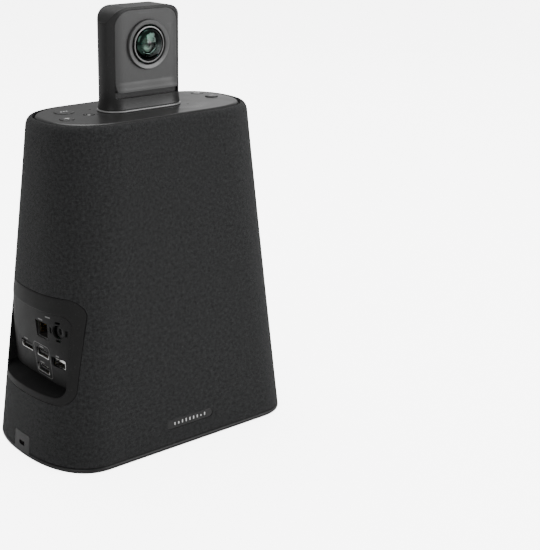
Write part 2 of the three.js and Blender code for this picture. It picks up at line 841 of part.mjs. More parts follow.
// Cable-grip slots round the power socket: above, below and on each side.
function powerSlots() {
  const [long, short] = [powerSlotLength / 2, powerSlotWidth / 2];
  return [[0, 1], [0, -1], [1, 0], [-1, 0]].map(([dy, dz]) => {
    const [halfY, halfZ] = dz === 0 ? [short, long] : [long, short];
    const y = powerY + dy * powerSlotReach;
    const z = powerZ + dz * powerSlotReach;
    return block(-far, boardX + 1, y - halfY, y + halfY, z - halfZ, z + halfZ);
  });
}

function barrelAlongX(y, z, radius, x0, x1) {
  const geometry = new THREE.CylinderGeometry(radius, radius, x1 - x0, smallSides);
  return solid(geometry.rotateZ(Math.PI / 2).translate((x0 + x1) / 2, y, z));
}

function panelShape() {
  const outline = prismAlongX(
    -pocketHalfWidth + seam, pocketHalfWidth - seam, panelFoot + 2 * seam, pocketTop - seam,
    hair, pocketCorner, -far, 0,
  );
  const sheet = pocketCore(0).subtract(pocketCore(bayWall)).intersect(outline);
  const openings = sockets.map((socket) => socketOpening(socket, seam));
  const barrel = barrelAlongX(powerY, powerZ, powerBarrel + seam, -far, boardX + 1);
  return cut(sheet, ...openings, barrel, ...powerSlots());
}

place('port_panel', panelShape(), 'housing');

// Socket shell standing on the port board, open towards -X, with its contact tongue.
function socketShape(socket) {
  const { width, height, wall, tongue } = socketSizes[socket.kind];
  const low = socket.z - height / 2;
  const mouths = [-1, 0, 1].map((side) => panelX(socket.y + side * width / 2, low));
  const mouth = Math.max(...mouths) + seam;
  const back = boardX - seam;
  const shell = block(mouth, back, socket.y - width / 2, socket.y + width / 2, low, low + height);
  const hollow = block(
    mouth - 1, back - socketFloor, socket.y - width / 2 + wall, socket.y + width / 2 - wall,
    low + wall, low + height - wall,
  );
  const open = shell.subtract(hollow);
  if (tongue === 0) return open;
  const bladeHalf = width / 2 - tongueMargin;
  const blade = block(
    mouth + tongueSetback, back - socketFloor / 2, socket.y - bladeHalf, socket.y + bladeHalf,
    socket.z - tongue / 2, socket.z + tongue / 2,
  );
  return open.add(blade);
}

for (const socket of sockets) {
  place(socket.name, socketShape(socket), socket.kind === 'ethernet' ? 'inner' : 'steel');
}

function powerSocketShape() {
  const mouth = panelX(powerY - powerBarrel, powerZ - powerBarrel) + seam;
  const back = boardX - seam;
  const body = barrelAlongX(powerY, powerZ, powerBarrel, mouth, back);
  const bore = barrelAlongX(powerY, powerZ, powerBore, mouth - 1, back - socketFloor);
  const pin = barrelAlongX(powerY, powerZ, powerPin, mouth + powerPinSetback, back - socketFloor / 2);
  return body.subtract(bore).add(pin);
}

place('power_socket', powerSocketShape(), 'inner');
place('port_board', block(
  boardX, boardX + boardThickness,
  -pocketHalfWidth + boardFrontMargin, pocketHalfWidth - boardRearMargin,
  panelFoot - bayWall, pocketTop - boardTopMargin,
), 'board');

// ---- Main board and heat sink ---------------------------------------------------------------

place('main_board', block(
  -boardHalfLength, boardHalfLength, -boardHalfDepth, boardHalfDepth, boardZ, boardZ + boardThickness,
), 'board');

function heatSinkShape() {
  const foot = boardZ + boardThickness + seam;
  const [x0, x1] = [sinkX - sinkHalf, sinkX + sinkHalf];
  const plate = block(x0, x1, -sinkHalf, sinkHalf, foot, foot + sinkFoot);
  const pitch = (2 * sinkHalf - sinkFin) / (sinkFins - 1);
  const fins = Array.from({ length: sinkFins }, (_, i) => {
    const x = x0 + i * pitch;
    return block(x, x + sinkFin, -sinkHalf, sinkHalf, foot + sinkFoot / 2, foot + sinkHeight);
  });
  return joined(plate, ...fins);
}

place('heat_sink', heatSinkShape(), 'aluminium');

// ---- Speaker driver and passive radiator ----------------------------------------------------

function speakerGroup(side) {
  const group = new THREE.Group();
  group.applyMatrix4(speakerMatrix(side));
  conferenceCamera.add(group);
  return group;
}

const flangeFront = wallInner + seam;
const flangeBack = flangeFront + flangeThickness;
const rollFoot = flangeFront - 2 * seam - stand;

// Rubber roll between the flange and the moving part, arched into the cabinet.
function surroundProfile() {
  const outer = frameBore;
  const inner = coneRadius + 2 * seam;
  const middle = (outer + inner) / 2;
  const arch = (outer - inner) / 2;
  const face = rollFoot - rollThickness;
  const points = [[baffleBore - seam, rollFoot], [baffleBore - seam, face]];
  for (const [radius, direction] of [[arch - rollThickness, 1], [arch, -1]]) {
    for (let step = 0; step <= archSteps; step += 1) {
      const share = direction > 0 ? step / archSteps : 1 - step / archSteps;
      const angle = share * Math.PI;
      points.push([middle + radius * Math.cos(angle), face + radius * Math.sin(angle)]);
    }
  }
  return points;
}

function basketProfile() {
  const back = driverDepth - magnetDepth;
  const coilRoom = coilBore + basketWall;
  return [
    [flangeRadius, flangeFront], [flangeRadius, flangeBack], [frameBore + basketWall, flangeBack],
    [magnetRadius, back], [coilRoom, back], [coilRoom, back - basketFloor],
    [magnetRadius - basketWall, back - basketFloor], [frameBore, flangeBack], [frameBore, flangeFront],
  ];
}

function magnetProfile() {
  const front = driverDepth - magnetDepth + seam;
  const slotFloor = driverDepth - magnetPlate;
  return [
    [0, front], [poleRadius, front], [poleRadius, slotFloor], [coilBore, slotFloor],
    [coilBore, front], [magnetRadius, front], [magnetRadius, driverDepth], [0, driverDepth],
  ];
}

function coneProfile() {
  const rimFace = rollFoot - coneSheet / 2;
  const coil = (poleRadius + coilBore + coneSheet) / 2;
  const throat = driverDepth - coneThroat;
  const tail = driverDepth - coilTail;
  const capShoulder = coil - 3;
  return [
    [0, throat - capRise], [capShoulder, throat - 0.8 * capRise], [coil, throat - 1.5 * coneSheet],
    [coneRadius - 1, rimFace], [coneRadius, rimFace], [coneRadius, rimFace + coneSheet],
    [coil + coneSheet / 2, throat + coneSheet], [coil, tail], [coil - coneSheet, tail],
    [coil - coneSheet, throat], [capShoulder, throat - 0.8 * capRise + coneSheet],
    [0, throat - capRise + coneSheet],
  ];
}

const driver = speakerGroup(1);
place('driver_basket', turnedAlongY(basketProfile()), 'inner', driver);
place('driver_magnet', turnedAlongY(magnetProfile()), 'steel', driver);
place('driver_cone', turnedAlongY(coneProfile()), 'cone', driver);
place('driver_surround', turnedAlongY(surroundProfile()), 'rubber', driver);

const radiator = speakerGroup(-1);
place('radiator_frame', turnedAlongY([
  [flangeRadius, flangeFront], [flangeRadius, flangeBack], [frameBore, flangeBack], [frameBore, flangeFront],
]), 'inner', radiator);

const radiatorFace = rollFoot - coneSheet / 2;
const radiatorBack = radiatorFace + radiatorPlate;
place('radiator_plate', turnedAlongY([
  [0, radiatorFace], [coneRadius, radiatorFace], [coneRadius, radiatorBack],
  [coneRadius / 2, radiatorBack], [coneRadius / 2, radiatorBack + radiatorWeight],
  [0, radiatorBack + radiatorWeight],
]), 'steel', radiator);
place('radiator_surround', turnedAlongY(surroundProfile()), 'rubber', radiator);

// ---- Top plate, controls and light ring -----------------------------------------------------

const plateInset = rimWidth + plateGap;
const topOutline = bodyOutline(bodyHeight, plateInset);

function plateRing(inset, z) {
  const [halfX, halfY] = [topOutline.halfX - inset, topOutline.halfY - inset];
  return outlineRing({ ...topOutline, halfX, halfY }, z);
}

function plateShape() {
  const rings = [
    plateRing(plateUndercut, bodyHeight - plateThickness), plateRing(0, bodyHeight - plateEdgeRadius),
  ];
  for (let step = 1; step <= edgeSteps; step += 1) {
    const angle = (step / edgeSteps) * (Math.PI / 2);
    rings.push(plateRing(
      plateEdgeRadius * (1 - Math.cos(angle)),
      bodyHeight - plateEdgeRadius * (1 - Math.sin(angle)),
    ));
  }
  const [z0, z1] = [bodyHeight - plateThickness - 1, bodyHeight + 1];
  const holes = buttons.map(({ x, y, radius }) => post(x, y, z0, z1, radius, buttonSides));
  const window = post(windowX, windowY, z0, z1, windowRadius, smallSides);
  const bores = microphones.map(({ x, y }) => post(x, y, z0, z1, microphoneBore, boreSides));
  const neck = prismAlongZ(
    -chimneyHalfWidth, chimneyHalfWidth, -chimneyHalfDepth, chimneyHalfDepth, chimneyCorner, z0, z1,
  );
  return cut(loft(rings), ...holes, window, ...bores, neck);
}

place('top_plate', plateShape(), 'plate');

const flangeTop = bodyHeight - plateThickness - seam;
const boardTop = bodyHeight - wellDepth + controlBoardLift + controlBoardThickness;

// Button cap with its retaining flange and stem; its origin is on the face of the plate.
function buttonShape({ radius, crown }) {
  const flange = flangeTop - bodyHeight;
  const underside = flange - buttonFlange;
  const stem = boardTop + switchHeight + buttonTravel + stand - bodyHeight;
  const cap = radius - runningGap;
  const skirt = radius + buttonFlange;
  return turnedGeometry([
    [0, stem], [stemRadius, stem], [stemRadius, underside], [skirt, underside], [skirt, flange],
    [cap, flange], [cap, stand], [cap - seam, crown * 0.55], [cap * 0.6, crown * 0.9], [0, crown],
  ], buttonSides);
}

for (const button of buttons) {
  const { name, x, y } = button;
  place(name, solid(buttonShape(button)), 'plate').position.set(x, y, bodyHeight);
  place(name.replace('button', 'switch'), joined(
    block(-switchHalf, switchHalf, -switchHalf, switchHalf, stand, switchBody),
    post(0, 0, switchBody / 2, switchHeight, switchCap),
  ), 'inner').position.set(x, y, boardTop);
}

const windowFlange = flangeTop - bodyHeight;
const windowFoot = windowFlange - buttonFlange;
place('indicator_window', turned([
  [0, windowFoot], [windowRadius + buttonFlange, windowFoot],
  [windowRadius + buttonFlange, windowFlange], [windowRadius - seam, windowFlange],
  [windowRadius - seam, stand], [0, stand],
], smallSides), 'ring').position.set(windowX, windowY, bodyHeight);

const innerRightButton = Math.min(...buttons.map(({ x }) => x).filter((x) => x > 0));
for (const [name, x0, x1] of [
  ['control_board_left', -far, windowX + controlBoardReach],
  ['control_board_right', innerRightButton - controlBoardReach, far],
]) {
  const bottom = boardTop - controlBoardThickness;
  place(name, bodySolid(ledgeInset + runningGap, bottom, boardTop)
    .intersect(block(x0, x1, -far, far, bottom - 1, boardTop + 1)), 'board');
}

// ---- Head -----------------------------------------------------------------------------------

const head = new THREE.Group();
head.position.z = bodyHeight;
conferenceCamera.add(head);

function headRing(inset, z) {
  return outlineRing({
    halfX: headHalfWidth - inset, halfY: headHalfDepth - inset, straight: headStraight, power: headPower,
  }, z);
}

// Passage for the ribbon and the chassis.
function chimney(z0, z1) {
  return prismAlongZ(
    -chimneyHalfWidth, chimneyHalfWidth, -chimneyHalfDepth, chimneyHalfDepth, chimneyCorner, z0, z1,
  );
}

const headBottom = ringHeight + 2 * seam;

place('light_ring', loft([
  headRing(-ringMargin, seam), headRing(-ringMargin, seam + ringHeight - ringBevel),
  headRing(-ringMargin + ringBevel, seam + ringHeight),
]).subtract(chimney(0, plinthTop)), 'ring', head);

// Opening for a face, or the face's own outline when inset.
function facePrism(inset, y0, y1) {
  return prismAlongY(
    -faceHalfWidth + inset, faceHalfWidth - inset, faceBottom + inset, faceTop - inset,
    faceFootCorner, faceCorner - inset, y0, y1,
  );
}

function headShellShape() {
  const skin = loft([
    headRing(-plinthFlare, headBottom), headRing(-plinthFlare / 2, headBottom + plinthWaist),
    headRing(0, plinthTop), headRing(0, headHeight + 1),
  ]);
  const silhouette = prismAlongY(
    -headHalfWidth, headHalfWidth, -headCorner, headHeight, 1, headCorner, -far, far,
  );
  const base = block(-far, far, -far, far, 0, plinthTop);
  const outer = skin.intersect(joined(silhouette, base));
  const cavityFloor = faceBottom + neckLap;
  const cavity = loft([headRing(headWall, cavityFloor), headRing(headWall, headHeight + 1)])
    .intersect(prismAlongY(
      -headHalfWidth + headWall, headHalfWidth - headWall, faceBottom, headHeight - headWall,
      1, headCorner - headWall, -far, far,
    ));
  const window = facePrism(0, -far, -headHalfDepth + faceThickness + seam);
  const neck = prismAlongY(
    -faceHalfWidth, faceHalfWidth, plinthTop, cavityFloor, 2 * seam, 2 * seam,
    -far, -headHalfDepth + neckDepth,
  );
  const flip = (shape) => shape.mirror([0, 1, 0]);
  const passage = chimney(0, cavityFloor + neckLap);
  return cut(outer, cavity, window, flip(window), neck, flip(neck), passage);
}

place('head_shell', headShellShape(), 'housing', head);

function chassisShape() {
  const half = chassisThickness / 2;
  const foot = -wellDepth + seam;
  return joined(
    block(-chassisHalfWidth, chassisHalfWidth, -half, half, foot, chassisTop),
    block(
      -chassisFootWidth, chassisFootWidth, -chassisFootReach, -half, foot, foot + chassisFootHeight,
    ),
  );
}

place('head_chassis', chassisShape(), 'aluminium', head);

const ringBack = -headHalfDepth + ringSink;

// Face, lens and sensor of one side; the rear set is the same set turned round.
function faceShape() {
  const rings = lipProfile.map(([rise, reach]) => (
    headRing(-reach * lipReach, faceBottom + rise * lipHeight)
  ));
  rings.push(headRing(faceSink, faceBottom + lipHeight), headRing(faceSink, headHeight + 1));
  const sheet = loft(rings).intersect(facePrism(seam, -far, -headHalfDepth + faceThickness));
  const boreRadius = lensRingBore + seam;
  const bore = turnedAlongY([[0, -far], [boreRadius, -far], [boreRadius, 0], [0, 0]]);
  const seatRadius = lensRingRadius + seam;
  const seatFloor = ringBack + seam;
  const seat = turnedAlongY([
    [0, -far], [seatRadius, -far], [seatRadius, seatFloor], [0, seatFloor],
  ]);
  const lift = (shape) => shape.translate([0, 0, lensZ]);
  return cut(sheet, lift(bore), lift(seat));
}

function lensRingShape() {
  const front = -headHalfDepth - lensRingReach;
  return turnedAlongY([
    [lensRingRadius, ringBack], [lensRingRadius, front + ringCrown],
    [lensRingRadius - ringCrown, front], [lensRingBore + ringCrown, front + ringCrown / 2],
    [lensRingBore, front + ringCrown], [lensRingBore, ringBack],
  ]);
}

const sensorFace = -chassisThickness / 2 - sensorGap - sensorBoardThickness;
const barrelFront = -headHalfDepth - barrelReach;

function barrelShape() {
  const back = sensorFace - chipHeight - seam;
  const iris = barrelFront + irisDepth;
  return turnedAlongY([
    [barrelRadius, back], [barrelRadius, barrelFront + barrelBevel],
    [barrelRadius - barrelBevel, barrelFront], [barrelBore, barrelFront],
    [barrelBore, iris - 1], [irisRadius + barrelBevel, iris], [irisRadius, iris], [irisRadius, back],
  ]);
}

function domeShape() {
  const edge = barrelFront + barrelSeat;
  const back = edge + domeThickness;
  const [innerRadius, innerHeight] = [domeRadius - domeThickness, domeHeight - domeThickness / 2];
  const outer = [];
  const inner = [];
  for (let step = 0; step <= domeSteps; step += 1) {
    const angle = (step / domeSteps) * (Math.PI / 2);
    outer.push([domeRadius * Math.sin(angle), edge - domeHeight * Math.cos(angle)]);
    inner.push([innerRadius * Math.sin(angle), back - innerHeight * Math.cos(angle)]);
  }
  return turnedAlongY([...outer, [domeRadius, back], ...inner.reverse()]);
}

function innerLensShape() {
  const shoulder = barrelFront + irisDepth;
  const crown = barrelFront + innerLensDepth;
  const radius = irisRadius - seam;
  const back = shoulder + innerLensEdge;
  return turnedAlongY([
    [0, crown], [radius / 2, crown + (shoulder - crown) / 4], [radius, shoulder], [radius, back],
    [0, back],
  ]);
}

function sensorBoardShape() {
  const board = block(
    -sensorBoardHalf, sensorBoardHalf, sensorFace, sensorFace + sensorBoardThickness,
    -sensorBoardHalf, sensorBoardHalf,
  );
  const chip = block(
    -chipHalfWidth, chipHalfWidth, sensorFace - chipHeight, sensorFace + sensorBoardThickness / 2,
    -chipHalfHeight, chipHalfHeight,
  );
  return joined(board, chip);
}

for (const [side, turn] of [['front', 0], ['rear', Math.PI]]) {
  const eye = new THREE.Group();
  eye.rotation.z = turn;
  head.add(eye);
  place(`face_${side}`, faceShape(), 'housing', eye);
  const pieces = [
    ['lens_ring', lensRingShape(), 'ring'],
    ['lens_barrel', barrelShape(), 'ring'],
    ['lens_dome', domeShape(), 'glass'],
    ['inner_lens', innerLensShape(), 'glass'],
    ['sensor_board', sensorBoardShape(), 'board'],
  ];
  for (const [name, shape, material] of pieces) {
    place(`${name}_${side}`, shape, material, eye).position.z = lensZ;
  }
}

// Ribbon from the sensors down to the main board.
const ribbonY = sensorBoardThickness - sensorFace;
place('head_ribbon', block(
  -ribbonHalf, ribbonHalf, ribbonY, ribbonY + ribbonThickness,
  boardZ + boardThickness + seam - bodyHeight, lensZ - sensorBoardHalf - chipHalfWidth,
), 'inner', head);

export default conferenceCamera;
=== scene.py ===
"""Tabletop conference camera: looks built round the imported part.

A tapered speaker cabinet in stretched cloth, a port bay in its left end, a satin top plate
with buttons, and a slab-shaped head with a lens on each face. Sizes are in millimetres
unless a name says otherwise; meshes are in metres. +Z is up and the front faces -Y.
"""

import json
import logging
import math
from dataclasses import dataclass, field, replace
from enum import Enum
from typing import Any, Iterable, Sequence

import bmesh
import bpy
from mathutils import Matrix, Vector

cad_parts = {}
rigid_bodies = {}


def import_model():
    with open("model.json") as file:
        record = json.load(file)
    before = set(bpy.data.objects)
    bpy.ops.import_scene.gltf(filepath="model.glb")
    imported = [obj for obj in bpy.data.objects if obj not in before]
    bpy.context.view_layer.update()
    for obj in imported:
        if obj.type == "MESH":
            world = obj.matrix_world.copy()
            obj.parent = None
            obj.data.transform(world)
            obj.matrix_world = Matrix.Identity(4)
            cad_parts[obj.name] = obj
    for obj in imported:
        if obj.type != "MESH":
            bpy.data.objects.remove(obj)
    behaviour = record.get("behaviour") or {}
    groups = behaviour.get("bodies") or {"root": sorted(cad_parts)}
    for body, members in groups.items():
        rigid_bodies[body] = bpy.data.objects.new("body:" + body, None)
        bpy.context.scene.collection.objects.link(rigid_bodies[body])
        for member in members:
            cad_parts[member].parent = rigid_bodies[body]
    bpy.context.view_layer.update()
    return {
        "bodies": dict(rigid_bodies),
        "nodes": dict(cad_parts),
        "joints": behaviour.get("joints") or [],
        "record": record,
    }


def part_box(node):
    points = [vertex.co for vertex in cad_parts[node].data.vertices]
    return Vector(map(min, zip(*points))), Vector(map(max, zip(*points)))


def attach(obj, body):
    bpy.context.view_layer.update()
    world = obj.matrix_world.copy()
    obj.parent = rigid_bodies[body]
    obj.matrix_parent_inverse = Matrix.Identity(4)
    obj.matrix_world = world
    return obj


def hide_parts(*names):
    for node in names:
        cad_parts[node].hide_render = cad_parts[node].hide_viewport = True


LOG = logging.getLogger("conference_camera")
MM = 0.001

Pair = tuple[float, float]
Point = tuple[float, float, float]
Object = bpy.types.Object
Socket = bpy.types.NodeSocket


# ---- Node boards ----------------------------------------------------------------------------


class NodeBoard:
    """Short ways to add and join the nodes of one tree."""

    def __init__(self, tree: bpy.types.NodeTree) -> None:
        """Keeps the tree that the nodes go in.

        Args:
            tree: a shader or geometry node tree.
        """
        self.tree = tree

    def put(self, kind: str, feeds: dict[Any, Any] | None = None, **settings: Any) -> Any:
        """Adds one node and feeds its sockets.

        Args:
            kind: the node's type.
            feeds: socket name or index to a constant or to another node's output.
            settings: plain properties of the node.

        Returns:
            The node.
        """
        node = self.tree.nodes.new(kind)
        for name, value in settings.items():
            setattr(node, name, value)
        for key, value in (feeds or {}).items():
            self.feed(node.inputs[key], value)
        return node

    def feed(self, socket: Socket, value: Any) -> None:
        """Links an output to a socket, or sets the socket's own value.

        Args:
            socket: the input to fill.
            value: an output socket or a constant.
        """
        if isinstance(value, bpy.types.NodeSocket):
            self.tree.links.new(value, socket)
        else:
            socket.default_value = value

    def math(self, operation: str, *values: Any) -> Socket:
        """Adds a Math node.

        Args:
            operation: the node's operation, in any case.
            values: its inputs in order.

        Returns:
            The result's socket.
        """
        kind = "ShaderNodeMath"
        return self.put(kind, dict(enumerate(values)), operation=operation.upper()).outputs[0]

    def mix(self, factor: Any, low: Any, high: Any) -> Socket:
        """Adds a colour Mix node and returns its result: low at factor 0, high at factor 1."""
        node = self.put("ShaderNodeMix", {0: factor, 6: low, 7: high}, data_type="RGBA")
        return node.outputs[2]

    def span(self, value: Any, low: float, high: float) -> Socket:
        """Maps a 0 to 1 value to the range from low to high and returns the result."""
        return self.put("ShaderNodeMapRange", {0: value, 3: low, 4: high}).outputs[0]


def group_tree(name: str, kind: str, inputs: dict[str, tuple[str, Any]], outputs: dict[str, str]) -> Any:
    """Starts a node group with named sockets.

    Args:
        name: the group's name.
        kind: ShaderNodeTree or GeometryNodeTree.
        inputs: socket name to (socket type, default or None).
        outputs: socket name to socket type.

    Returns:
        The empty tree.
    """
    tree = bpy.data.node_groups.new(name, kind)
    for label, (socket_type, default) in inputs.items():
        socket = tree.interface.new_socket(name=label, in_out="INPUT", socket_type=socket_type)
        if default is not None:
            socket.default_value = default
    for label, socket_type in outputs.items():
        tree.interface.new_socket(name=label, in_out="OUTPUT", socket_type=socket_type)
    return tree


FLOAT = "NodeSocketFloat"
INTEGER = "NodeSocketInt"
VECTOR = "NodeSocketVector"
GEOMETRY = "NodeSocketGeometry"
OBJECT = "NodeSocketObject"
MATERIAL = "NodeSocketMaterial"


# ---- Shared shader effects ------------------------------------------------------------------


class Effects:
    """Shader groups that several finishes share. Each is built once, on first use."""

    built: dict[str, bpy.types.NodeTree] = {}

    @classmethod
    def get(cls, name: str) -> bpy.types.NodeTree:
        """Returns the group called name, building it if need be."""
        if name not in cls.built:
            cls.built[name] = getattr(cls, f"_{name}")()
        return cls.built[name]

    @staticmethod
    def _grain() -> bpy.types.NodeTree:
        """Spark-eroded mould grain: fine pits with slow changes of tone.

        Returns:
            The group, with Height, Tone and Patch outputs from 0 to 1.
        """
        tree = group_tree(
            "Mould grain", "ShaderNodeTree",
            {"Scale": (FLOAT, 2600.0), "Patch Scale": (FLOAT, 30.0)},
            {"Height": FLOAT, "Tone": FLOAT, "Patch": FLOAT},
        )
        board = NodeBoard(tree)
        given = board.put("NodeGroupInput")
        place = board.put("ShaderNodeTexCoord").outputs["Object"]
        fine = board.put("ShaderNodeTexNoise", {
            "Vector": place, "Scale": given.outputs["Scale"], "Detail": 3.0, "Roughness": 0.6,
        })
        cells = board.put("ShaderNodeTexVoronoi", {
            "Vector": place, "Scale": board.math("multiply", given.outputs["Scale"], 0.55),
        })
        patch = board.put("ShaderNodeTexNoise", {
            "Vector": place, "Scale": given.outputs["Patch Scale"], "Detail": 4.0, "Roughness": 0.55,
        })
        height = board.math("add", board.math("multiply", fine.outputs[0], 0.6),
                            board.math("multiply", cells.outputs[0], 0.5))
        board.put("NodeGroupOutput", {"Height": height, "Tone": fine.outputs[0], "Patch": patch.outputs[0]})
        return tree

    @staticmethod
    def _weave() -> bpy.types.NodeTree:
        """Plain weave of flecked yarns, on the cloth's own map in metres.

        Returns:
            The group, with Height, Fleck and Mottle outputs from 0 to 1.
        """
        tree = group_tree(
            "Flecked weave", "ShaderNodeTree",
            {"Pitch": (FLOAT, 0.0009), "Fleck Length": (FLOAT, 0.0028)},
            {"Height": FLOAT, "Fleck": FLOAT, "Mottle": FLOAT},
        )
        board = NodeBoard(tree)
        given = board.put("NodeGroupInput")
        chart = board.put("ShaderNodeUVMap", uv_map="cloth").outputs[0]
        parts = board.put("ShaderNodeSeparateXYZ", {0: chart})
        turns = board.math("divide", 2 * math.pi, given.outputs["Pitch"])
        across = board.math("multiply", parts.outputs[0], turns)
        along = board.math("multiply", parts.outputs[1], turns)
        weft = board.math("absolute", board.math("sine", board.math("multiply", along, 0.5)))
        warp = board.math("absolute", board.math("sine", board.math("multiply", across, 0.5)))
        over = board.math("multiply", board.math("sine", across), board.math("sine", along))
        which = board.span(over, 0.0, 1.0)
        which.node.inputs[1].default_value = -0.25
        which.node.inputs[2].default_value = 0.25
        threads = board.put("ShaderNodeMix", {0: which, 2: weft, 3: warp}).outputs[0]
        flecks = []
        for stretch in ((1.0, 3.2, 1.0), (3.2, 1.0, 1.0)):
            yarn = board.put("ShaderNodeMapping", {"Vector": chart, "Scale": stretch}).outputs[0]
            scale = board.math("divide", 1.0, given.outputs["Fleck Length"])
            flecks.append(board.put("ShaderNodeTexNoise", {
                "Vector": yarn, "Scale": scale, "Detail": 3.0, "Roughness": 0.75,
            }).outputs[0])
        fleck = board.put("ShaderNodeMix", {0: which, 2: flecks[0], 3: flecks[1]}).outputs[0]
        mottle = board.put("ShaderNodeTexNoise", {
            "Vector": chart, "Scale": 420.0, "Detail": 4.0, "Roughness": 0.7,
        }).outputs[0]
        board.put("NodeGroupOutput", {"Height": threads, "Fleck": fleck, "Mottle": mottle})
        return tree

    @staticmethod
    def _brushing() -> bpy.types.NodeTree:
        """Straight brush marks along X, with a few wider bands.

        Returns:
            The group, with a Streak output from 0 to 1.
        """
        tree = group_tree(
            "Brush marks", "ShaderNodeTree",
            {"Across": (FLOAT, 5200.0)}, {"Streak": FLOAT},
        )
        board = NodeBoard(tree)
        given = board.put("NodeGroupInput")
        place = board.put("ShaderNodeTexCoord").outputs["Object"]
        stretched = board.put("ShaderNodeMapping", {"Vector": place, "Scale": (0.02, 1.0, 1.0)})
        streak = board.put("ShaderNodeTexNoise", {
            "Vector": stretched.outputs[0], "Scale": given.outputs["Across"], "Detail": 2.0,
        })
        board.put("NodeGroupOutput", {"Streak": streak.outputs[0]})
        return tree

    @staticmethod
    def _handling() -> bpy.types.NodeTree:
        """Marks of use: finger smears, fine scuffs and dust.

        Returns:
            The group, with Smear, Scuff and Dust outputs from 0 to 1.
        """
        tree = group_tree(
            "Handling marks", "ShaderNodeTree",
            {"Smear Scale": (FLOAT, 26.0)}, {"Smear": FLOAT, "Scuff": FLOAT, "Dust": FLOAT},
        )
        board = NodeBoard(tree)
        given = board.put("NodeGroupInput")
        place = board.put("ShaderNodeTexCoord").outputs["Object"]
        smear = board.put("ShaderNodeTexNoise", {
            "Vector": place, "Scale": given.outputs["Smear Scale"], "Detail": 5.0, "Distortion": 1.2,
        }).outputs[0]
        lines = board.put("ShaderNodeMapping", {
            "Vector": place, "Scale": (1.0, 9.0, 4.0), "Rotation": (0.3, 0.2, 0.7),
        }).outputs[0]
        scuff = board.put("ShaderNodeTexNoise", {"Vector": lines, "Scale": 160.0, "Detail": 6.0}).outputs[0]
        specks = board.put("ShaderNodeTexVoronoi", {"Vector": place, "Scale": 420.0}).outputs[0]
        scuffs = board.put("ShaderNodeMapRange", {0: scuff, 1: 0.63, 2: 0.72}).outputs[0]
        dust = board.put("ShaderNodeMapRange", {0: specks, 1: 0.07, 2: 0.02}).outputs[0]
        board.put("NodeGroupOutput", {"Smear": smear, "Scuff": scuffs, "Dust": dust})
        return tree

    @staticmethod
    def _turning() -> bpy.types.NodeTree:
        """Lathe marks: fine rings about the lens axis at the given height.

        Returns:
            The group, with a Ring output from 0 to 1.
        """
        tree = group_tree(
            "Lathe marks", "ShaderNodeTree",
            {"Axis Height": (FLOAT, 0.288), "Pitch": (FLOAT, 0.00035)}, {"Ring": FLOAT},
        )
        board = NodeBoard(tree)
        given = board.put("NodeGroupInput")
        parts = board.put("ShaderNodeSeparateXYZ", {0: board.put("ShaderNodeTexCoord").outputs["Object"]})
        rise = board.math("subtract", parts.outputs[2], given.outputs["Axis Height"])
        square = board.math("add", board.math("multiply", parts.outputs[0], parts.outputs[0]),
                            board.math("multiply", rise, rise))
        turns = board.math("divide", board.math("sqrt", square), given.outputs["Pitch"])
        ring = board.math("sine", board.math("multiply", turns, 2 * math.pi))
        board.put("NodeGroupOutput", {"Ring": board.math("multiply_add", ring, 0.5, 0.5)})
        return tree


# ---- Finishes -------------------------------------------------------------------------------


class Marks(Enum):
    """How a metal surface was worked."""

    BRUSHED = "brushed"
    TURNED = "turned"


@dataclass(frozen=True)
class Finish:
    """One surface finish: a material with its own node tree, made on first use."""

    name: str
    slot: str
    colour: Point
    roughness: float

    def material(self) -> bpy.types.Material:
        """Returns the finish's material, building it if need be."""
        known = bpy.data.materials.get(self.name)
        if known:
            return known
        made = bpy.data.materials.new(self.name)
        made.use_nodes = True
        made.diffuse_color = (*self.colour, 1.0)
        board = NodeBoard(made.node_tree)
        shader = next(n for n in made.node_tree.nodes if n.type == "BSDF_PRINCIPLED")
        shader.inputs["Roughness"].default_value = self.roughness
        self.dress(board, shader)
        return made

    def dress(self, board: NodeBoard, shader: bpy.types.Node) -> None:
        """Adds the finish's nodes.

        Args:
            board: the material's tree.
            shader: its Principled BSDF.
        """
        raise NotImplementedError

    def shades(self, board: NodeBoard, factor: Any, low: float, high: float) -> Socket:
        """Returns the finish's colour, from low to high times its own brightness."""
        dark = tuple(c * low for c in self.colour) + (1.0,)
        light = tuple(min(c * high, 1.0) for c in self.colour) + (1.0,)
        return board.mix(factor, dark, light)

    @staticmethod
    def group(board: NodeBoard, name: str, **values: float) -> Any:
        """Places a shared effect with its own values and returns the node."""
        node = board.put("ShaderNodeGroup", node_tree=Effects.get(name))
        for label, value in values.items():
            node.inputs[label.replace("_", " ")].default_value = value
        return node

    @staticmethod
    def bump(board: NodeBoard, shader: bpy.types.Node, height: Any, depth: float) -> None:
        """Feeds a height map to the shader's normal; depth is in metres."""
        node = board.put("ShaderNodeBump", {"Height": height, "Strength": 1.0, "Distance": depth})
        board.feed(shader.inputs["Normal"], node.outputs[0])


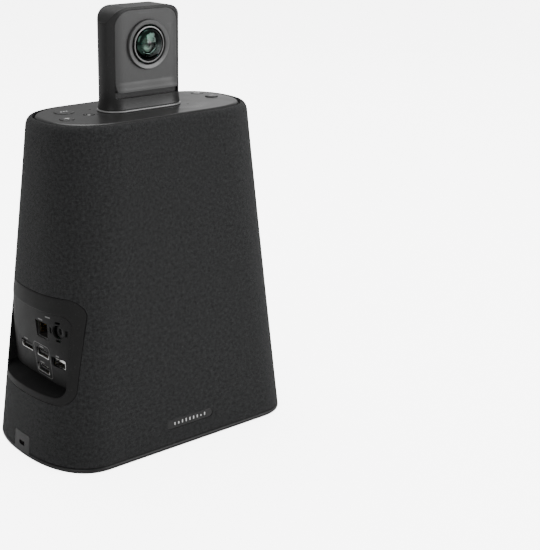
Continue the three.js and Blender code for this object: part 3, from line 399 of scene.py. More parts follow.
@dataclass(frozen=True)
class Moulded(Finish):
    """Moulded plastic or rubber with an eroded grain."""

    grain: float = 2600.0
    depth: float = 0.00003
    patch: float = 0.12
    smear: float = 0.14
    dust: float = 0.05
    coat: float = 0.0
    shine: float = 0.3

    def dress(self, board: NodeBoard, shader: bpy.types.Node) -> None:
        """Adds grain, slow tone changes, smears and dust; see Finish.dress."""
        grain = self.group(board, "grain", Scale=self.grain)
        marks = self.group(board, "handling")
        tone = board.math("multiply_add", grain.outputs["Tone"], 0.6,
                          board.math("multiply", grain.outputs["Patch"], 0.4))
        plain = self.shades(board, tone, 1 - self.patch * 2, 1 + self.patch * 2)
        dusty = board.mix(board.math("multiply", marks.outputs["Dust"], self.dust), plain,
                          (0.42, 0.41, 0.39, 1.0))
        scuffed = board.mix(board.math("multiply", marks.outputs["Scuff"], self.dust), dusty,
                            (0.3, 0.3, 0.3, 1.0))
        board.feed(shader.inputs["Base Color"], scuffed)
        rough = board.span(marks.outputs["Smear"], self.roughness - self.smear, self.roughness + self.smear)
        board.feed(shader.inputs["Roughness"], rough)
        shader.inputs["Specular IOR Level"].default_value = self.shine
        shader.inputs["Coat Weight"].default_value = self.coat
        shader.inputs["Coat Roughness"].default_value = 0.3
        self.bump(board, shader, grain.outputs["Height"], self.depth)


@dataclass(frozen=True)
class Cloth(Finish):
    """Flecked speaker cloth on its own map."""

    pitch: float = 0.0009
    depth: float = 0.00022
    contrast: float = 0.62

    def dress(self, board: NodeBoard, shader: bpy.types.Node) -> None:
        """Adds the weave, its flecks and a faint fuzz; see Finish.dress."""
        weave = self.group(board, "weave", Pitch=self.pitch)
        marks = self.group(board, "handling")
        mixed = board.math("multiply_add", weave.outputs["Fleck"], 0.5,
                           board.math("multiply", weave.outputs["Mottle"], 0.5))
        spread = board.put("ShaderNodeMapRange", {0: mixed, 1: 0.36, 2: 0.64}).outputs[0]
        yarn = self.shades(board, spread, 1 - self.contrast, 1 + self.contrast)
        gap = tuple(c * 0.25 for c in self.colour) + (1.0,)
        raised = board.put("ShaderNodeMapRange", {0: weave.outputs["Height"], 1: 0.0, 2: 0.55}).outputs[0]
        cloth = board.mix(raised, gap, yarn)
        lint = board.mix(board.math("multiply", marks.outputs["Dust"], 0.12), cloth, (0.4, 0.4, 0.4, 1.0))
        board.feed(shader.inputs["Base Color"], lint)
        board.feed(shader.inputs["Roughness"], board.span(weave.outputs["Fleck"], self.roughness, 1.0))
        shader.inputs["Sheen Weight"].default_value = 0.06
        shader.inputs["Sheen Roughness"].default_value = 0.45
        shader.inputs["Specular IOR Level"].default_value = 0.12
        relief = board.math("add", weave.outputs["Height"],
                            board.math("multiply", weave.outputs["Fleck"], 0.5))
        self.bump(board, shader, relief, self.depth)


@dataclass(frozen=True)
class Metal(Finish):
    """Bare or plated metal with brush or lathe marks."""

    marks: Marks = Marks.BRUSHED
    metallic: float = 1.0
    depth: float = 0.00001

    def dress(self, board: NodeBoard, shader: bpy.types.Node) -> None:
        """Adds the tool marks and handling; see Finish.dress."""
        shader.inputs["Metallic"].default_value = self.metallic
        if self.marks is Marks.TURNED:
            worked = self.group(board, "turning").outputs["Ring"]
        else:
            worked = self.group(board, "brushing").outputs["Streak"]
        used = self.group(board, "handling")
        toned = self.shades(board, worked, 0.86, 1.12)
        board.feed(shader.inputs["Base Color"], board.mix(
            board.math("multiply", used.outputs["Dust"], 0.2), toned, (0.3, 0.3, 0.3, 1.0)))
        rough = board.span(used.outputs["Smear"], self.roughness * 0.7, self.roughness * 1.3)
        board.feed(shader.inputs["Roughness"], rough)
        self.bump(board, shader, worked, self.depth)


@dataclass(frozen=True)
class CoatedGlass(Finish):
    """Clear optical glass with a tinted anti-reflection coating and, if set, painted shade that darkens its
    edge and one side of its reflection.
    """

    bloom: Point = (0.5, 0.95, 0.75)
    level: float = 0.9
    axis: float = 0.0  # height of the optical axis in metres
    clear: float = 0.0  # radius in metres inside which the glass stays clear of painted shade; 0 for all of it
    edge: Point = (0.0, 0.002, 0.002)  # tint of the painted shade towards the edge
    painted_shade_reflection: Point = (0.03, 0.05, 0.04)  # painted shade on the reflection, on the side away from the coating's colour
    away: Point = (0.8, 0.0, -0.6)  # towards the side of the reflection in painted shade

    def dress(self, board: NodeBoard, shader: bpy.types.Node) -> None:
        """Sets plain glass with a tinted reflection and faint smears, and, if clear is set, painted shade at
        the edge and on one side of the reflection; see Finish.dress.
        """
        shader.inputs["Transmission Weight"].default_value = 1.0
        shader.inputs["IOR"].default_value = 1.5
        shader.inputs["Specular Tint"].default_value = (*self.bloom, 1.0)
        shader.inputs["Specular IOR Level"].default_value = self.level
        used = self.group(board, "handling")
        tint = self.shades(board, used.outputs["Smear"], 0.97, 1.0)
        if self.clear:
            place = board.put("ShaderNodeTexCoord").outputs["Object"]
            offset = board.put("ShaderNodeVectorMath", {0: place, 1: (0.0, 0.0, self.axis)},
                               operation="SUBTRACT").outputs[0]
            across = board.put("ShaderNodeVectorMath", {0: offset, 1: (1.0, 0.0, 1.0)},
                               operation="MULTIPLY").outputs[0]
            reach = board.put("ShaderNodeVectorMath", {0: across}, operation="LENGTH").outputs["Value"]
            # Painted shade: beyond the clear radius the glass's colour darkens to the edge tint.
            rim = board.put("ShaderNodeMapRange", {0: reach, 1: self.clear, 2: self.clear * 1.25}).outputs[0]
            tint = board.mix(rim, tint, (*self.edge, 1.0))
            # Painted reflection: the reflection keeps the coating's colour on one side and turns dark towards
            # away, as if lit from one side only.
            sideways = board.put("ShaderNodeVectorMath", {0: offset, 1: self.away},
                                 operation="DOT_PRODUCT").outputs["Value"]
            shade = board.put("ShaderNodeMapRange",
                              {0: sideways, 1: -self.clear * 1.1, 2: -self.clear * 0.15}).outputs[0]
            board.feed(shader.inputs["Specular Tint"],
                       board.mix(shade, (*self.bloom, 1.0), (*self.painted_shade_reflection, 1.0)))
        board.feed(shader.inputs["Base Color"], tint)
        board.feed(shader.inputs["Roughness"], board.span(used.outputs["Smear"], 0.0, self.roughness * 2))


@dataclass(frozen=True)
class Laminate(Finish):
    """Circuit board: solder mask over copper tracks, with tinned pads."""

    def dress(self, board: NodeBoard, shader: bpy.types.Node) -> None:
        """Adds tracks and pads; see Finish.dress."""
        place = board.put("ShaderNodeTexCoord").outputs["Object"]
        tracks = board.put("ShaderNodeTexBrick", {
            "Vector": place, "Scale": 150.0, "Mortar Size": 0.02, "Brick Width": 0.9, "Row Height": 0.22,
        }).outputs["Fac"]
        pads = board.put("ShaderNodeTexVoronoi", {"Vector": place, "Scale": 260.0}).outputs[0]
        tinned = board.put("ShaderNodeMapRange", {0: pads, 1: 0.2, 2: 0.15}).outputs[0]
        mask = self.shades(board, tracks, 1.0, 1.9)
        board.feed(shader.inputs["Base Color"], board.mix(tinned, mask, (0.6, 0.58, 0.52, 1.0)))
        board.feed(shader.inputs["Metallic"], tinned)
        self.bump(board, shader, board.math("add", tracks, tinned), 0.00004)


@dataclass(frozen=True)
class Ink(Finish):
    """Screen-printed ink, a little uneven."""

    def dress(self, board: NodeBoard, shader: bpy.types.Node) -> None:
        """Adds pinholes and an uneven tone and shine to the print; see Finish.dress."""
        grain = self.group(board, "grain", Scale=3400.0)
        board.feed(shader.inputs["Base Color"], self.shades(board, grain.outputs["Tone"], 0.7, 1.15))
        board.feed(shader.inputs["Roughness"], board.span(grain.outputs["Patch"], 0.4, 0.7))
        self.bump(board, shader, grain.outputs["Height"], 0.00001)


def grey(level: float, warm: float = 0.0) -> Point:
    """Returns a near-neutral colour of the given linear brightness, warmer as warm rises."""
    return (level * (1 + warm), level, level * (1 - warm))


CLOTH = Cloth("charcoal_cloth", "fabric", grey(0.021, -0.02), 0.85)
HOUSING = Moulded("graphite_moulding", "housing", grey(0.0095), 0.4)
BAY = Moulded("bay_moulding", "housing", grey(0.0085), 0.55, grain=3000.0, shine=0.14)
# Near-black painted shade: the bay's sloping shelf and the bezel's outer edge under the cloth take it in
# place of the bay's own moulding colour.
SHELF_PAINTED_SHADE = Moulded("bay_shelf_painted_shade", "housing", grey(0.003), 0.6, grain=3000.0, shine=0.08, dust=0.0)
FACE = Moulded("face_moulding", "housing", grey(0.042), 0.45, grain=3400.0, depth=0.00002)
PLATE = Moulded("satin_plate", "plate", grey(0.016), 0.32, grain=3800.0, depth=0.00001, coat=0.04)
INNER = Moulded("inner_moulding", "inner", grey(0.012), 0.6)
RUBBER = Moulded("black_rubber", "rubber", grey(0.01), 0.8, grain=1800.0)
CONE = Moulded("pressed_paper", "cone", grey(0.015), 0.8, grain=1200.0, depth=0.00008)
STEEL = Metal("plated_steel", "steel", (0.62, 0.62, 0.61), 0.28)
GOLD = Metal("gilt_contact", "steel", (0.85, 0.62, 0.28), 0.25)
ALUMINIUM = Metal("milled_aluminium", "aluminium", (0.55, 0.56, 0.57), 0.36)
RING = Metal("anodised_ring", "trim", grey(0.08), 0.4, marks=Marks.TURNED, metallic=0.6)
BARREL = Metal("barrel_ring", "trim", grey(0.12), 0.22, marks=Marks.TURNED, metallic=0.8)
BLACKED = Moulded("blacked_barrel", "inner", grey(0.0015), 0.5, grain=4200.0, depth=0.00001, dust=0.0,
                  shine=0.05)
# The dome's glass carries painted shade towards its edge and a painted dark side of its reflection.
DOME = CoatedGlass("coated_dome_painted_shade", "glass", (0.75, 0.95, 0.88), 0.012, level=0.22, clear=0.0072)
INNER_GLASS = CoatedGlass("coated_inner_lens", "glass", (0.55, 0.8, 0.66), 0.02, bloom=(1.0, 0.45, 0.6))
BOARD = Laminate("green_laminate", "board", (0.01, 0.09, 0.04), 0.4)
MARK = Ink("pale_print", "trim", grey(0.55), 0.5)
FAINT = Ink("grey_print", "housing", grey(0.12), 0.5)
LIGHT_RING = Moulded("frosted_ring", "trim", grey(0.16), 0.3, grain=3000.0, coat=0.4)


# ---- Meshes ---------------------------------------------------------------------------------


def mesh_object(name: str, points: Iterable[Sequence[float]], faces: Iterable[Sequence[int]]) -> Object:
    """Makes a mesh object from points in millimetres.

    Args:
        name: the object's name.
        points: places in millimetres.
        faces: corner indices.

    Returns:
        The object, at the origin.
    """
    data = bpy.data.meshes.new(name)
    data.from_pydata([(x * MM, y * MM, z * MM) for x, y, z in points], [], [tuple(f) for f in faces])
    data.update()
    made = bpy.data.objects.new(name, data)
    bpy.context.scene.collection.objects.link(made)
    return made


def weld(piece: Object, gap: float = 2e-6, outwards: bool = True) -> Object:
    """Merges doubles, drops flat faces and turns the faces outwards.

    Args:
        piece: the object to clean.
        gap: merge distance in metres.
        outwards: whether to turn the faces out of the closed shape.

    Returns:
        The same object.
    """
    mesh = bmesh.new()
    mesh.from_mesh(piece.data)
    bmesh.ops.remove_doubles(mesh, verts=mesh.verts, dist=gap)
    bmesh.ops.dissolve_degenerate(mesh, edges=mesh.edges, dist=gap / 2)
    if outwards:
        bmesh.ops.recalc_face_normals(mesh, faces=mesh.faces)
    mesh.to_mesh(piece.data)
    mesh.free()
    return piece


def smooth(piece: Object, angle: float = 32.0) -> Object:
    """Shades a piece smooth, with its edges over angle degrees kept crisp, and returns it."""
    piece.data.shade_smooth()
    piece.data.set_sharp_from_angle(angle=math.radians(angle))
    return piece


def bake(piece: Object) -> Object:
    """Turns a piece's modifiers into plain mesh and returns it."""
    graph = bpy.context.evaluated_depsgraph_get()
    plain = bpy.data.meshes.new_from_object(piece.evaluated_get(graph))
    piece.modifiers.clear()
    piece.data = plain
    return piece


def carve(piece: Object, cutters: Iterable[Object], operation: str = "DIFFERENCE") -> Object:
    """Cuts, joins or crosses a closed piece with closed cutters, which are used up.

    Args:
        piece: the piece that is changed.
        cutters: the other solids.
        operation: DIFFERENCE, UNION or INTERSECT.

    Returns:
        The piece.
    """
    for cutter in list(cutters):
        step = piece.modifiers.new("carve", "BOOLEAN")
        step.operation = operation
        step.solver = "EXACT"
        step.object = cutter
        bake(piece)
        bpy.data.objects.remove(cutter)
    return piece


def soften(piece: Object, width: float, segments: int = 2, angle: float = 38.0) -> Object:
    """Rounds a piece's sharp edges and evens its normals.

    Args:
        piece: the piece to finish.
        width: the rounding's width in millimetres.
        segments: facets across it.
        angle: edges sharper than this many degrees are rounded.

    Returns:
        The piece.
    """
    mesh = bmesh.new()
    mesh.from_mesh(piece.data)
    bmesh.ops.dissolve_limit(mesh, angle_limit=math.radians(0.2), verts=mesh.verts, edges=mesh.edges)
    mesh.to_mesh(piece.data)
    mesh.free()
    step = piece.modifiers.new("round", "BEVEL")
    step.width = width * MM
    step.segments = segments
    step.limit_method = "ANGLE"
    step.angle_limit = math.radians(angle)
    step.use_clamp_overlap = True
    bake(piece)
    smooth(piece)
    even = piece.modifiers.new("even", "WEIGHTED_NORMAL")
    even.keep_sharp = True
    return bake(piece)


def merged(name: str, pieces: Sequence[Object]) -> Object:
    """Makes one object of several, keeping each one's materials.

    Args:
        name: the new object's name.
        pieces: the objects, which are used up.

    Returns:
        The new object.
    """
    mesh = bmesh.new()
    materials: list[bpy.types.Material] = []
    for piece in pieces:
        start = len(mesh.faces)
        mesh.from_mesh(piece.data)
        mesh.faces.ensure_lookup_table()
        own = list(piece.data.materials)
        for face in mesh.faces[start:]:
            if own:
                finish = own[face.material_index]
                if finish not in materials:
                    materials.append(finish)
                face.material_index = materials.index(finish)
    data = bpy.data.meshes.new(name)
    mesh.to_mesh(data)
    mesh.free()
    for finish in materials:
        data.materials.append(finish)
    for piece in pieces:
        bpy.data.objects.remove(piece)
    made = bpy.data.objects.new(name, data)
    bpy.context.scene.collection.objects.link(made)
    return made


def box(name: str, low: Point, high: Point) -> Object:
    """Returns a closed block between two corners, as a cutter or a blank."""
    points = [(x, y, z) for x in (low[0], high[0]) for y in (low[1], high[1]) for z in (low[2], high[2])]
    faces = [(0, 1, 3, 2), (4, 6, 7, 5), (0, 4, 5, 1), (2, 3, 7, 6), (0, 2, 6, 4), (1, 5, 7, 3)]
    return mesh_object(name, points, faces)


def rounded_loop(low: Pair, high: Pair, radii: Pair, steps: int = 10, side: int = 1) -> list[Pair]:
    """Outline of a rounded rectangle, anticlockwise from its lower right corner.

    Args:
        low: its lower left corner.
        high: its upper right corner.
        radii: radius of the lower and of the upper corners.
        steps: facets in each corner.
        side: facets along each straight side.

    Returns:
        The points.
    """
    corners = [
        (high[0], low[1], radii[0], -90), (high[0], high[1], radii[1], 0),
        (low[0], high[1], radii[1], 90), (low[0], low[1], radii[0], 180),
    ]
    signs = [(-1, 1), (-1, -1), (1, -1), (1, 1)]
    loop: list[Pair] = []
    for (x, y, radius, start), (sx, sy) in zip(corners, signs):
        for step in range(steps + 1):
            angle = math.radians(start + 90 * step / steps)
            loop.append((x + sx * radius + radius * math.cos(angle),
                         y + sy * radius + radius * math.sin(angle)))
    full: list[Pair] = []
    for index, (a, b) in enumerate(loop):
        full.append((a, b))
        if index % (steps + 1) == steps:
            c, d = loop[(index + 1) % len(loop)]
            full += [(a + (c - a) * k / side, b + (d - b) * k / side) for k in range(1, side)]
    return full


def skin(name: str, rings: Sequence[Sequence[Point]], caps: bool = True, around: bool = True) -> Object:
    """Surface through a row of rings with equal counts.

    Args:
        name: the object's name.
        rings: the rings, in order.
        caps: whether the first and last ring are filled.
        around: whether each ring closes on itself.

    Returns:
        The object.
    """
    count = len(rings[0])
    points = [point for ring in rings for point in ring]
    faces: list[Sequence[int]] = []
    for row in range(len(rings) - 1):
        for i in range(count if around else count - 1):
            j = (i + 1) % count
            faces.append((row * count + i, row * count + j, (row + 1) * count + j, (row + 1) * count + i))
    if caps:
        faces.append(tuple(range(count))[::-1])
        faces.append(tuple((len(rings) - 1) * count + i for i in range(count)))
    return mesh_object(name, points, faces)


def prism(name: str, loop: Sequence[Pair], axis: str, start: float, end: float) -> Object:
    """Closed prism of an outline.

    Args:
        name: the object's name.
        loop: outline in the other two axes, in their order X, Y, Z.
        axis: the axis that the prism runs along.
        start: its first end.
        end: its other end.

    Returns:
        The object.
    """
    def at(pair: Pair, depth: float) -> Point:
        """Puts an outline point at a depth along the axis."""
        a, b = pair
        return {"X": (depth, a, b), "Y": (a, depth, b), "Z": (a, b, depth)}[axis]

    return weld(skin(name, [[at(pair, depth) for pair in loop] for depth in (start, end)]))


def lathe(name: str, profile: Sequence[Pair], middle: Point, axis: str = "Z", sides: int = 72) -> Object:
    """Closed turned solid.

    Args:
        name: the object's name.
        profile: (radius, height) pairs; a profile off the axis closes on itself.
        middle: where the axis and height 0 are.
        axis: "Z" for heights up, or "Y" for heights towards +Y.
        sides: facets round it.

    Returns:
        The object.
    """
    closed = list(profile)
    if profile[0][0] > 0:
        closed.append(profile[0])
    rings = []
    for radius, height in closed:
        ring = []
        for k in range(sides):
            angle = 2 * math.pi * k / sides
            a, b = radius * math.cos(angle), radius * math.sin(angle)
            local = (a, b, height) if axis == "Z" else (a, height, b)
            ring.append(tuple(m + c for m, c in zip(middle, local)))
        rings.append(ring)
    return weld(skin(name, rings, caps=False))


def arc(centre: Pair, radius: float, start: float, end: float, steps: int) -> list[Pair]:
    """Returns points on an arc from start to end degrees, both ends included."""
    angles = [math.radians(start + (end - start) * k / steps) for k in range(steps + 1)]
    return [(centre[0] + radius * math.cos(a), centre[1] + radius * math.sin(a)) for a in angles]


def turned_round(piece: Object) -> Object:
    """Turns a mesh half way round the upright axis and returns its object."""
    piece.data.transform(Matrix.Rotation(math.pi, 4, "Z"))
    return piece


# ---- Geometry node trees --------------------------------------------------------------------


def run_tree(name: str, tree: bpy.types.NodeTree, values: dict[str, Any]) -> Object:
    """Runs a geometry tree on an empty mesh and keeps the result as plain mesh.

    Args:
        name: the new object's name.
        tree: the geometry node tree.
        values: its inputs by name.

    Returns:
        The object.
    """
    host = mesh_object(name, [], [])
    modifier = host.modifiers.new("build", "NODES")
    modifier.node_group = tree
    known = {
        item.name: item.identifier for item in tree.interface.items_tree
        if item.item_type == "SOCKET" and item.in_out == "INPUT"
    }
    for label, value in values.items():
        modifier[known[label]] = value
    return bake(host)


class Trees:
    """Geometry node trees, each built once, on first use."""

    built: dict[str, bpy.types.NodeTree] = {}

    @classmethod
    def get(cls, name: str) -> bpy.types.NodeTree:
        """Returns the tree called name, building it if need be."""
        if name not in cls.built:
            cls.built[name] = getattr(cls, f"_{name}")()
        return cls.built[name]

    @staticmethod
    def _taper() -> bpy.types.NodeTree:
        """Skin of a tapered body: an outline carried up a profile.

        A point of the outline holds its share of the straight stretch and its reach along X
        and Y; a point of the profile holds an inset, a shrink factor and a height.

        Returns:
            The tree.
        """
        sizes = ("Base Half X", "Base Half Y", "Base Straight", "Top Half X", "Top Half Y", "Top Straight",
                 "Top Z")
        inputs: dict[str, tuple[str, Any]] = {"Outline": (OBJECT, None), "Profile": (OBJECT, None)}
        inputs |= {"Columns": (INTEGER, 8), "Rows": (INTEGER, 2)}
        inputs |= {label: (FLOAT, 0.1) for label in sizes}
        inputs["Finish"] = (MATERIAL, None)
        tree = group_tree("Tapered skin", "GeometryNodeTree", inputs, {"Mesh": GEOMETRY})
        board = NodeBoard(tree)
        given = board.put("NodeGroupInput").outputs
        grid = board.put("GeometryNodeMeshGrid", {
            "Vertices X": given["Columns"], "Vertices Y": given["Rows"],
        }).outputs["Mesh"]
        index = board.put("GeometryNodeInputIndex").outputs[0]
        column = board.math("floor", board.math("divide", board.math("add", index, 0.5), given["Rows"]))
        row = board.math("subtract", index, board.math("multiply", column, given["Rows"]))
        position = board.put("GeometryNodeInputPosition").outputs[0]
        length = board.put("GeometryNodeInputNamedAttribute", {"Name": "arc"}, data_type="FLOAT").outputs[0]

        def sample(source: str, number: Socket, value: Socket, kind: str) -> Socket:
            """Reads a value of the outline or the profile at a point's number."""
            shape = board.put("GeometryNodeObjectInfo", {"Object": given[source]}).outputs["Geometry"]
            node = board.put("GeometryNodeSampleIndex", data_type=kind, domain="POINT")
            for label, item in (("Geometry", shape), ("Value", value), ("Index", number)):
                board.feed(node.inputs[label], item)
            return node.outputs[0]

        station = board.put("ShaderNodeSeparateXYZ",
                            {0: sample("Outline", column, position, "FLOAT_VECTOR")}).outputs
        level = board.put("ShaderNodeSeparateXYZ",
                          {0: sample("Profile", row, position, "FLOAT_VECTOR")}).outputs
        share = board.math("divide", level[2], given["Top Z"])

        def tapered(size: str) -> Socket:
            """Returns a size at the level's height."""
            growth = board.math("subtract", given[f"Top {size}"], given[f"Base {size}"])
            return board.math("multiply_add", growth, share, given[f"Base {size}"])

        straight = tapered("Straight")
        reach = board.math("subtract", board.math("subtract", tapered("Half X"), level[0]), straight)
        x = board.math("multiply_add", station[1], reach, board.math("multiply", station[0], straight))
        y = board.math("multiply", station[2], board.math("subtract", tapered("Half Y"), level[0]))
        place = board.put("ShaderNodeCombineXYZ", {
            0: board.math("multiply", x, level[1]), 1: board.math("multiply", y, level[1]), 2: level[2],
        }).outputs[0]
        chart = board.put("ShaderNodeCombineXYZ", {
            0: sample("Outline", column, length, "FLOAT"), 1: sample("Profile", row, length, "FLOAT"),
        }).outputs[0]
        held = board.put("GeometryNodeCaptureAttribute", {"Geometry": grid}, domain="POINT")
        held.capture_items.new("VECTOR", "Chart")
        board.feed(held.inputs["Chart"], chart)
        shaped = board.put("GeometryNodeSetPosition", {
            "Geometry": held.outputs["Geometry"], "Position": place,
        }).outputs[0]
        charted = board.put("GeometryNodeStoreNamedAttribute", {
            "Geometry": shaped, "Name": "cloth", "Value": held.outputs["Chart"],
        }, data_type="FLOAT2", domain="CORNER").outputs[0]
        closed = board.put("GeometryNodeMergeByDistance", {"Geometry": charted, "Distance": 2e-6}).outputs[0]
        plain = board.put("GeometryNodeRealizeInstances", {"Geometry": closed}).outputs[0]
        dressed = board.put("GeometryNodeSetMaterial",
                            {"Geometry": plain, "Material": given["Finish"]}).outputs[0]
        board.put("NodeGroupOutput", {"Mesh": dressed})
        return tree

    @staticmethod
    def _row() -> bpy.types.NodeTree:
        """Copies of an element in a straight row, each a little different in height.

        Returns:
            The tree.
        """
        tree = group_tree("Row of elements", "GeometryNodeTree", {
            "Element": (OBJECT, None), "Count": (INTEGER, 4), "Start": (VECTOR, (0.0, 0.0, 0.0)),
            "Step": (VECTOR, (0.001, 0.0, 0.0)), "Swing": (FLOAT, 0.0), "Seed": (INTEGER, 5),
            "Finish": (MATERIAL, None),
        }, {"Mesh": GEOMETRY})
        board = NodeBoard(tree)
        given = board.put("NodeGroupInput").outputs
        line = board.put("GeometryNodeMeshLine", {
            "Count": given["Count"], "Start Location": given["Start"], "Offset": given["Step"],
        }, mode="OFFSET").outputs[0]
        swing = board.put("FunctionNodeRandomValue", {
            2: board.math("subtract", 1.0, given["Swing"]), 3: 1.0, "Seed": given["Seed"],
        }, data_type="FLOAT").outputs[1]
        size = board.put("ShaderNodeCombineXYZ", {0: 1.0, 1: 1.0, 2: swing}).outputs[0]
        element = board.put("GeometryNodeObjectInfo", {"Object": given["Element"]}).outputs["Geometry"]
        copies = board.put("GeometryNodeInstanceOnPoints", {
            "Points": line, "Instance": element, "Scale": size,
        }).outputs[0]
        plain = board.put("GeometryNodeRealizeInstances", {"Geometry": copies}).outputs[0]
        dressed = board.put("GeometryNodeSetMaterial",
                            {"Geometry": plain, "Material": given["Finish"]}).outputs[0]
        board.put("NodeGroupOutput", {"Mesh": dressed})
        return tree

    @staticmethod
    def _corners() -> bpy.types.NodeTree:
        """Four copies of an element at the corners of a rectangle.

        Returns:
            The tree.
        """
        tree = group_tree("Corner fasteners", "GeometryNodeTree", {
            "Element": (OBJECT, None), "Half X": (FLOAT, 0.05), "Half Y": (FLOAT, 0.04), "Z": (FLOAT, 0.0),
            "Finish": (MATERIAL, None),
        }, {"Mesh": GEOMETRY})
        board = NodeBoard(tree)
        given = board.put("NodeGroupInput").outputs
        grid = board.put("GeometryNodeMeshGrid", {
            "Size X": board.math("multiply", given["Half X"], 2.0),
            "Size Y": board.math("multiply", given["Half Y"], 2.0), "Vertices X": 2, "Vertices Y": 2,
        }).outputs["Mesh"]
        lift = board.put("ShaderNodeCombineXYZ", {2: given["Z"]}).outputs[0]
        raised = board.put("GeometryNodeSetPosition", {"Geometry": grid, "Offset": lift}).outputs[0]
        element = board.put("GeometryNodeObjectInfo", {"Object": given["Element"]}).outputs["Geometry"]
        copies = board.put("GeometryNodeInstanceOnPoints", {"Points": raised, "Instance": element}).outputs[0]
        plain = board.put("GeometryNodeRealizeInstances", {"Geometry": copies}).outputs[0]
        dressed = board.put("GeometryNodeSetMaterial",
                            {"Geometry": plain, "Material": given["Finish"]}).outputs[0]
        board.put("NodeGroupOutput", {"Mesh": dressed})
        return tree


def row_of(name: str, element: Object, count: int, start: Point, step: Point, finish: Finish,
           swing: float = 0.0) -> Object:
    """Copies an element in a row.

    Args:
        name: the new object's name.
        element: the shape to copy, which is used up.
        count: how many copies.
        start: place of the first, in millimetres.
        step: from one to the next, in millimetres.
        finish: the copies' finish.
        swing: largest share by which a copy may be shorter.

    Returns:
        The row.
    """
    made = run_tree(name, Trees.get("row"), {
        "Element": element, "Count": count, "Start": tuple(c * MM for c in start),
        "Step": tuple(c * MM for c in step), "Swing": swing, "Seed": 11, "Finish": finish.material(),
    })
    bpy.data.objects.remove(element)
    return made


# ---- Shape of the cabinet and of the head ---------------------------------------------------


def node_box(node: str) -> tuple[Vector, Vector]:
    """Returns a CAD node's lowest and highest corners in millimetres."""
    low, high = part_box(node)
    return low / MM, high / MM


@dataclass(frozen=True)
class Taper:
    """A tapered body: straight sides with superelliptic ends."""

    base: Point  # half width, half depth and half straight stretch at height 0
    top: Point  # the same at top_z
    top_z: float
    power: float
    quarter: int = 26
    middle: int = 10

    def at(self, z: float, inset: float = 0.0) -> Point:
        """Returns the half width, half depth and half straight stretch at a height."""
        share = z / self.top_z
        halves = [low + (high - low) * share for low, high in zip(self.base, self.top)]
        return (halves[0] - inset, halves[1] - inset, halves[2])

    def end_x(self, y: float, z: float, inset: float = 0.0) -> float:
        """Returns the X of the left end at a place, drawn in by inset."""
        half_x, half_y, straight = self.at(z, inset)
        side = min(abs(y) / half_y, 1.0) ** self.power
        return -(straight + (half_x - straight) * (1 - side) ** (1 / self.power))

    def outline(self) -> list[Point]:
        """Returns the outline's points as (share of the straight stretch, reach X, reach Y)."""
        bend = 2 / self.power
        quarter = [math.radians(90 * k / self.quarter) for k in range(self.quarter + 1)]
        reach = [(math.cos(a) ** bend if k < self.quarter else 0.0, math.sin(a) ** bend)
                 for k, a in enumerate(quarter)]
        back = [(1.0, a, b) for a, b in reach]
        straight = [(1 - 2 * k / self.middle, 0.0, 1.0) for k in range(1, self.middle)]
        left = [(-1.0, -a, b) for a, b in reversed(reach)]
        half = back + straight + left
        other = [(-s, -a, -b) for s, a, b in half[1:]]
        return half + other

    def skin(self, name: str, profile: Sequence[Point], finish: Finish) -> Object:
        """Carries the outline up a profile with the geometry tree.

        Args:
            name: the object's name.
            profile: (inset, height, shrink) rows in millimetres; a cap ends with shrink 0.
            finish: the surface finish.

        Returns:
            The closed skin, with its own map in metres.
        """
        outline = self.outline()
        half_x, half_y, straight = self.at(self.top_z / 2)
        flat = [(s * straight + a * (half_x - straight), b * half_y, 0.0) for s, a, b in outline]
        sides = [(inset, z, 0.0) for inset, z, _ in profile]
        station = self._guide("outline", [Vector(p) for p in outline], flat)
        rows = [Vector((inset * MM, shrink, z * MM)) for inset, z, shrink in profile]
        level = self._guide("profile", rows, sides)
        values = {"Outline": station, "Profile": level, "Columns": len(outline), "Rows": len(profile)}
        for label, row in (("Base", self.base), ("Top", self.top)):
            for size, value in zip(("Half X", "Half Y", "Straight"), row):
                values[f"{label} {size}"] = value * MM
        values |= {"Top Z": self.top_z * MM, "Finish": finish.material()}
        made = run_tree(name, Trees.get("taper"), values)
        for guide in (station, level):
            bpy.data.objects.remove(guide)
        return smooth(weld(made))

    @staticmethod
    def _guide(name: str, points: Sequence[Vector], path: Sequence[Point]) -> Object:
        """Makes a guide whose points hold values, with the length along a path in metres.

        Args:
            name: the guide's name.
            points: what each point holds.
            path: the places that the lengths are measured along, in millimetres.

        Returns:
            The guide.
        """
        data = bpy.data.meshes.new(name)
        data.from_pydata(list(points), [], [])
        lengths = [0.0]
        for here, there in zip(path, path[1:]):
            lengths.append(lengths[-1] + math.dist(here, there) * MM)
        data.attributes.new("arc", "FLOAT", "POINT").data.foreach_set("value", lengths)
        guide = bpy.data.objects.new(name, data)
        bpy.context.scene.collection.objects.link(guide)
        return guide


def solid_profile(rows: Sequence[Pair]) -> list[Point]:
    """Closes (inset, height) rows with a cap at each end, as Taper.skin takes them."""
    return [(*rows[0], 0.0), *((inset, z, 1.0) for inset, z in rows), (*rows[-1], 0.0)]


